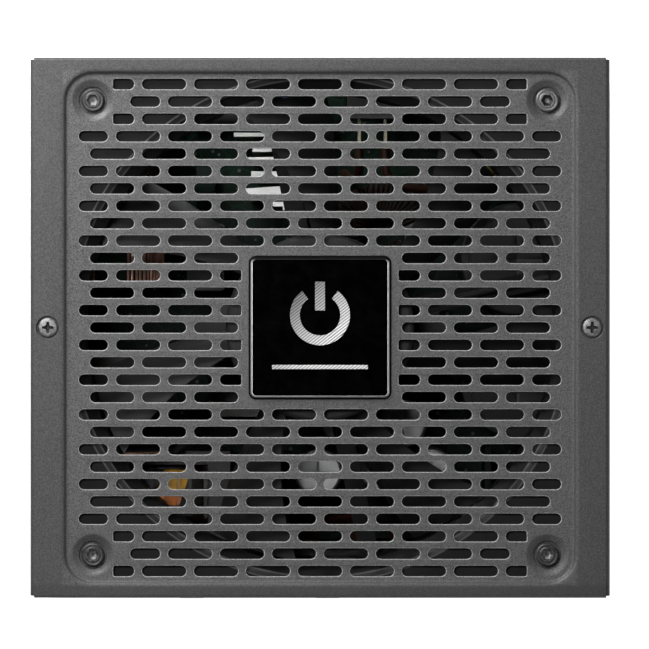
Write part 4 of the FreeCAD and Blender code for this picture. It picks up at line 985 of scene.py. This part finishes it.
# ================================================ switch
def make_rocker_marks(material):
    """The usual bar and ring of a mains switch, printed thick on the two halves of the rocker."""
    low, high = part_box("switch_rocker")
    joint = next(joint for joint in frame["joints"] if joint["name"] == "switch_rock")
    pivot = Vector(joint["pos_m"])
    tilt, ridge, reach, raised = math.radians(10), 3.2 * MM, 4.4 * MM, 0.04 * MM
    half_w, half_h, ring_outer, ring_inner = 0.45 * MM, 1.9 * MM, 2.0 * MM, 1.35 * MM
    cx = (low.x + high.x) / 2
    bm = bmesh.new()
    for side in (1, -1):
        before = set(bm.verts)
        if side > 0:
            corners = [(cx + way * half_w, way * raised, reach + way * half_h) for way in (-1, 1)]
            soft_box(bm, *corners, raised / 2)
        else:
            rings = []
            for r, way in ((ring_outer, -1), (ring_outer, 1), (ring_inner, 1), (ring_inner, -1)):
                points = [(cx + x, way * raised, z - reach) for x, z in circle(0, 0, r)]
                rings.append(ring_of(bm, points))
            skin(bm, rings + rings[:1])
        face = Matrix.Translation((0, ridge, 0)) @ Matrix.Rotation(side * tilt, 4, "X")
        place = Matrix.Translation((0, pivot.y, pivot.z)) @ Matrix.Rotation(-tilt, 4, "X") @ face
        for vert in set(bm.verts) - before:
            vert.co = place @ vert.co
    finished(bm, "rocker_marks", "rocker", material)


# ================================================ stage
def light_tent():
    """World of a light tent that is bright at its sides and open, so dark, overhead."""
    side_strength = 0.5
    world = bpy.data.worlds.new("light_tent")
    world.use_nodes = True
    tree = world.node_tree
    background = tree.nodes["Background"]
    where = tree.nodes.new("ShaderNodeTexCoord")
    split = tree.nodes.new("ShaderNodeSeparateXYZ")
    fade = tree.nodes.new("ShaderNodeMapRange")
    fade.interpolation_type = "SMOOTHSTEP"
    for key, value in (("From Min", 0.45), ("From Max", 0.95), ("To Min", side_strength), ("To Max", 0.0)):
        fade.inputs[key].default_value = value
    tree.links.new(where.outputs["Generated"], split.inputs[0])
    tree.links.new(split.outputs["Z"], fade.inputs["Value"])
    tree.links.new(fade.outputs["Result"], background.inputs["Strength"])
    background.inputs["Color"].default_value = (1.0, 1.0, 1.0, 1.0)
    return world


def make_floor():
    """Pale floor just under the unit."""
    bm = bmesh.new()
    reach, cells = 6.0, 12
    bmesh.ops.create_grid(bm, x_segments=cells, y_segments=cells, size=reach)
    mesh = bpy.data.meshes.new("floor")
    bm.to_mesh(mesh)
    bm.free()
    floor = bpy.data.objects.new("floor", mesh)
    floor.location.z = -0.2 * MM
    bpy.context.scene.collection.objects.link(floor)
    made = Finish("pale_floor", grey(0.86), 0.9, Emission_Strength=0.95, Emission_Color=(1.0, 1.0, 1.0, 1.0))
    made.colour(made.mix(made.noise(0.4), grey(0.85), grey(0.88)))
    mesh.materials.append(made.material)


def make_lights():
    """Light tent, and soft lamps aimed at the unit's middle."""
    middle = Vector((0, 0, 0.05))
    bpy.context.scene.world = light_tent()
    for name, place, size, power in (
        ("key", (-0.19, 0.28, 0.25), 0.2, 2.9),
        ("high", (-0.22, 0.24, 1.15), 0.26, 7.0),
        ("fill", (0.75, -0.6, 0.55), 0.6, 0.7),
    ):
        data = bpy.data.lights.new(name, "AREA")
        data.shape = "SQUARE"
        data.size = size
        data.energy = power
        lamp = bpy.data.objects.new(name, data)
        lamp.location = place
        lamp.rotation_euler = (middle - Vector(place)).to_track_quat("-Z", "Y").to_euler()
        lamp.visible_camera = False
        bpy.context.scene.collection.objects.link(lamp)


def make_camera():
    """Long-lens camera straight above the grille, as in the photo."""
    distance, view_width = 1.4, 167.8 * MM
    middle_x, middle_y = 1.16 * MM, 0.8 * MM
    data = bpy.data.cameras.new("camera")
    data.sensor_width = 36.0
    data.lens = data.sensor_width * distance / view_width
    data.clip_start, data.clip_end = 0.05, 50.0
    camera = bpy.data.objects.new("camera", data)
    camera.location = (middle_x, middle_y, cad_box[1].z + distance)
    bpy.context.scene.collection.objects.link(camera)
    bpy.context.scene.camera = camera
    bpy.context.scene.view_settings.view_transform = "Standard"


# ================================================ the whole unit
def paint_case():
    """Materials of the case, the badge, the inlet, the switch and the sockets."""
    paint(powder_coat("powder_coat"), "base_chassis", "top_cover")
    paint(screw_steel("hidden_screw_steel", grey(0.13), grey(0.13)), "cover_screws")
    paint(badge_trim(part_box("badge_frame")[1].y), "badge_frame")
    paint(badge_gloss(), "badge_plate")
    black = moulded("black_nylon", grey(0.018), 0.4)
    sockets = ["motherboard_sockets", "eight_pin_sockets", "six_pin_sockets", "graphics_socket"]
    paint(black, "ac_inlet", "switch_housing", "switch_rocker", "relay", *sockets)
    paint(brushed("tinned_brass", (0.78, 0.72, 0.58), 0.24, "Y"), "socket_pins")
    paint(brushed("dull_brass", (0.3, 0.27, 0.2), 0.4, "Y"), "ac_inlet_pins", "switch_terminals")


def paint_fan():
    """Materials of the fan, and of the plated steel parts that match its cup."""
    paint(fan_frame_plastic(), "fan_frame")
    paint(moulded("fan_plastic", grey(0.016), 0.5, shine=0.15), "fan_impeller")
    plated = brushed("plated_steel", (0.72, 0.72, 0.7), 0.26, "Z")
    paint(plated, "pcb_screws", "pcb_standoffs", "rotor_cup", "fan_shaft")
    paint(brushed("bearing_brass", (0.62, 0.42, 0.18), 0.3, "Z"), "bearing_sleeve")
    paint(ferrite("magnet", grey(0.03)), "magnet_ring")
    paint(brushed("stator_steel", grey(0.3), 0.4, "X"), "stator_core")
    paint(enamelled("stator_copper", (0.42, 0.11, 0.045)), "stator_windings")
    paint(glossy("white_nylon", grey(0.72), 0.4), "fan_header", "fan_plug")


def paint_boards_and_leads():
    """Materials of the boards, the film below them and the leads."""
    green = board("green_board", (0.0015, 0.007, 0.004), (0.003, 0.014, 0.008))
    paint(green, "main_pcb", "fan_pcb", "daughter_boards")
    paint(board("black_board", grey(0.015), grey(0.03)), "modular_pcb")
    paint(insulation("black_lead", grey(0.02)), "fan_lead")
    paint(insulation("brown_lead", (0.014, 0.005, 0.0025)), "live_wires")
    paint(insulation("blue_lead", (0.01, 0.04, 0.2)), "neutral_wire")
    paint(insulation("earth_lead", (0.02, 0.12, 0.02), yellow_earth_x, (0.16, 0.13, 0.012)), "earth_wire")
    paint(litz_bundle(), "transformer_lead")
    paint(glossy("insulating_film", (0.03, 0.03, 0.035), 0.35), "insulating_sheet")


def paint_electronics():
    """Materials of the parts that stand on the boards."""
    paint(ferrite("choke_core", (0.01, 0.03, 0.019), 0.4), "filter_choke_cores", "pfc_choke_core")
    paint(glossy("film_box", (0.06, 0.045, 0.012), 0.38), "x_capacitors")
    paint(glossy("blue_disc", (0.01, 0.03, 0.1), 0.3), "y_capacitors")
    paint(glossy("fuse_sleeve", grey(0.02), 0.4), "fuse")
    paint(glossy("dark_disc", (0.004, 0.008, 0.006), 0.55, shine=0.05), "thermistor")
    # the heatsink is painted lit at its top and painted shade below
    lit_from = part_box("bridge_heatsink")[1].z - lit_fin_depth
    paint(brushed("heatsink", grey(0.7), 0.45, "Z", wear=0.15, shaded_below=lit_from), "bridge_heatsink")
    dark_plate = brushed("dark_heatsink", grey(0.045), 0.5, "Z", wear=0.3)
    paint(dark_plate, "primary_heatsink", "secondary_heatsink")
    paint(glossy("epoxy_package", grey(0.02), 0.45), "bridge_rectifier", "primary_transistors")
    paint(ferrite("ferrite", grey(0.025)), "transformer_core")
    paint(wrapped_tape("dark_tape", (0.014, 0.012, 0.008)), "standby_transformer", "resonant_choke")
    red = (0.018, 0.0009, 0.0007)
    coil = enamelled("red_coil", red, 0.5, coat=0.0, shine=0.3, beyond=plain_coil_x, other=grey(0.01))
    paint(coil, "output_coils")
    paint(brushed("copper_bar", (0.02, 0.01, 0.006), 0.5, "Z"), "output_busbars")


def make_outside():
    """Cover, badge sign, the black ring of painted shadow round the badge, and fan screws."""
    # painted highlight: the slots' rounded edges get a much lighter coat
    make_cover(powder_coat("cover_coat"), powder_coat("edge_coat_painted_highlight", grey(0.17)))
    make_badge_mark(hatched_silver())
    # painted shadow: a thin black ring round the badge
    make_badge_shadow_ring(glossy("black_shadow_ring", grey(0.001), 0.6, shine=0.05))
    # painted highlight: lighter steel in the sockets, but dark in the screw furthest towards +X and +Y
    lit_facets = screw_steel("facet_highlight_steel", grey(0.13), grey(0.03))
    make_fan_screws(screw_steel("fan_screw_steel", grey(0.04), grey(0.11)), lit_facets)


def make_inside():
    """Wound parts and capacitors."""
    wire = enamelled("winding_copper", (1.0, 0.4, 0.3), 0.3, metallic=0.4, coat=0.9)
    # painted shade: the rear filter choke and the PFC choke get near-black wire
    shaded_wire = enamelled("shaded_winding", (0.008, 0.004, 0.003), 0.6, metallic=0.0, coat=0.0, shine=0.1)
    make_filter_chokes(wire, shaded_wire)
    make_pfc_choke(shaded_wire)
    make_transformer_winding(wrapped_tape("yellow_tape", (0.8, 0.42, 0.03), lit_tape_patch))
    sleeve = glossy("black_sleeve", (0.008, 0.008, 0.01), 0.42, shine=0.2)
    make_capacitors("bulk_capacitors", "bulk_capacitor", sleeve, lip_share=0.17)
    can = brushed("can", grey(0.38), 0.36, "X", wear=0.3)
    make_capacitors("output_capacitors", "output_capacitor", can, lip_share=0.12)


def main():
    """The painted frame, the built pieces and the stage."""
    paint_case()
    paint_fan()
    paint_boards_and_leads()
    paint_electronics()
    make_outside()
    make_inside()
    # painted shade: near black in the cover screws' cross recesses
    recess = ferrite("recess_painted_shade", grey(0.004), 0.7)
    make_cover_screws(screw_steel("cover_screw_steel", grey(0.13), grey(0.13)), recess)
    make_rocker_marks(glossy("white_mark", grey(0.8), 0.5))
    make_floor()
    make_lights()
    make_camera()


main()
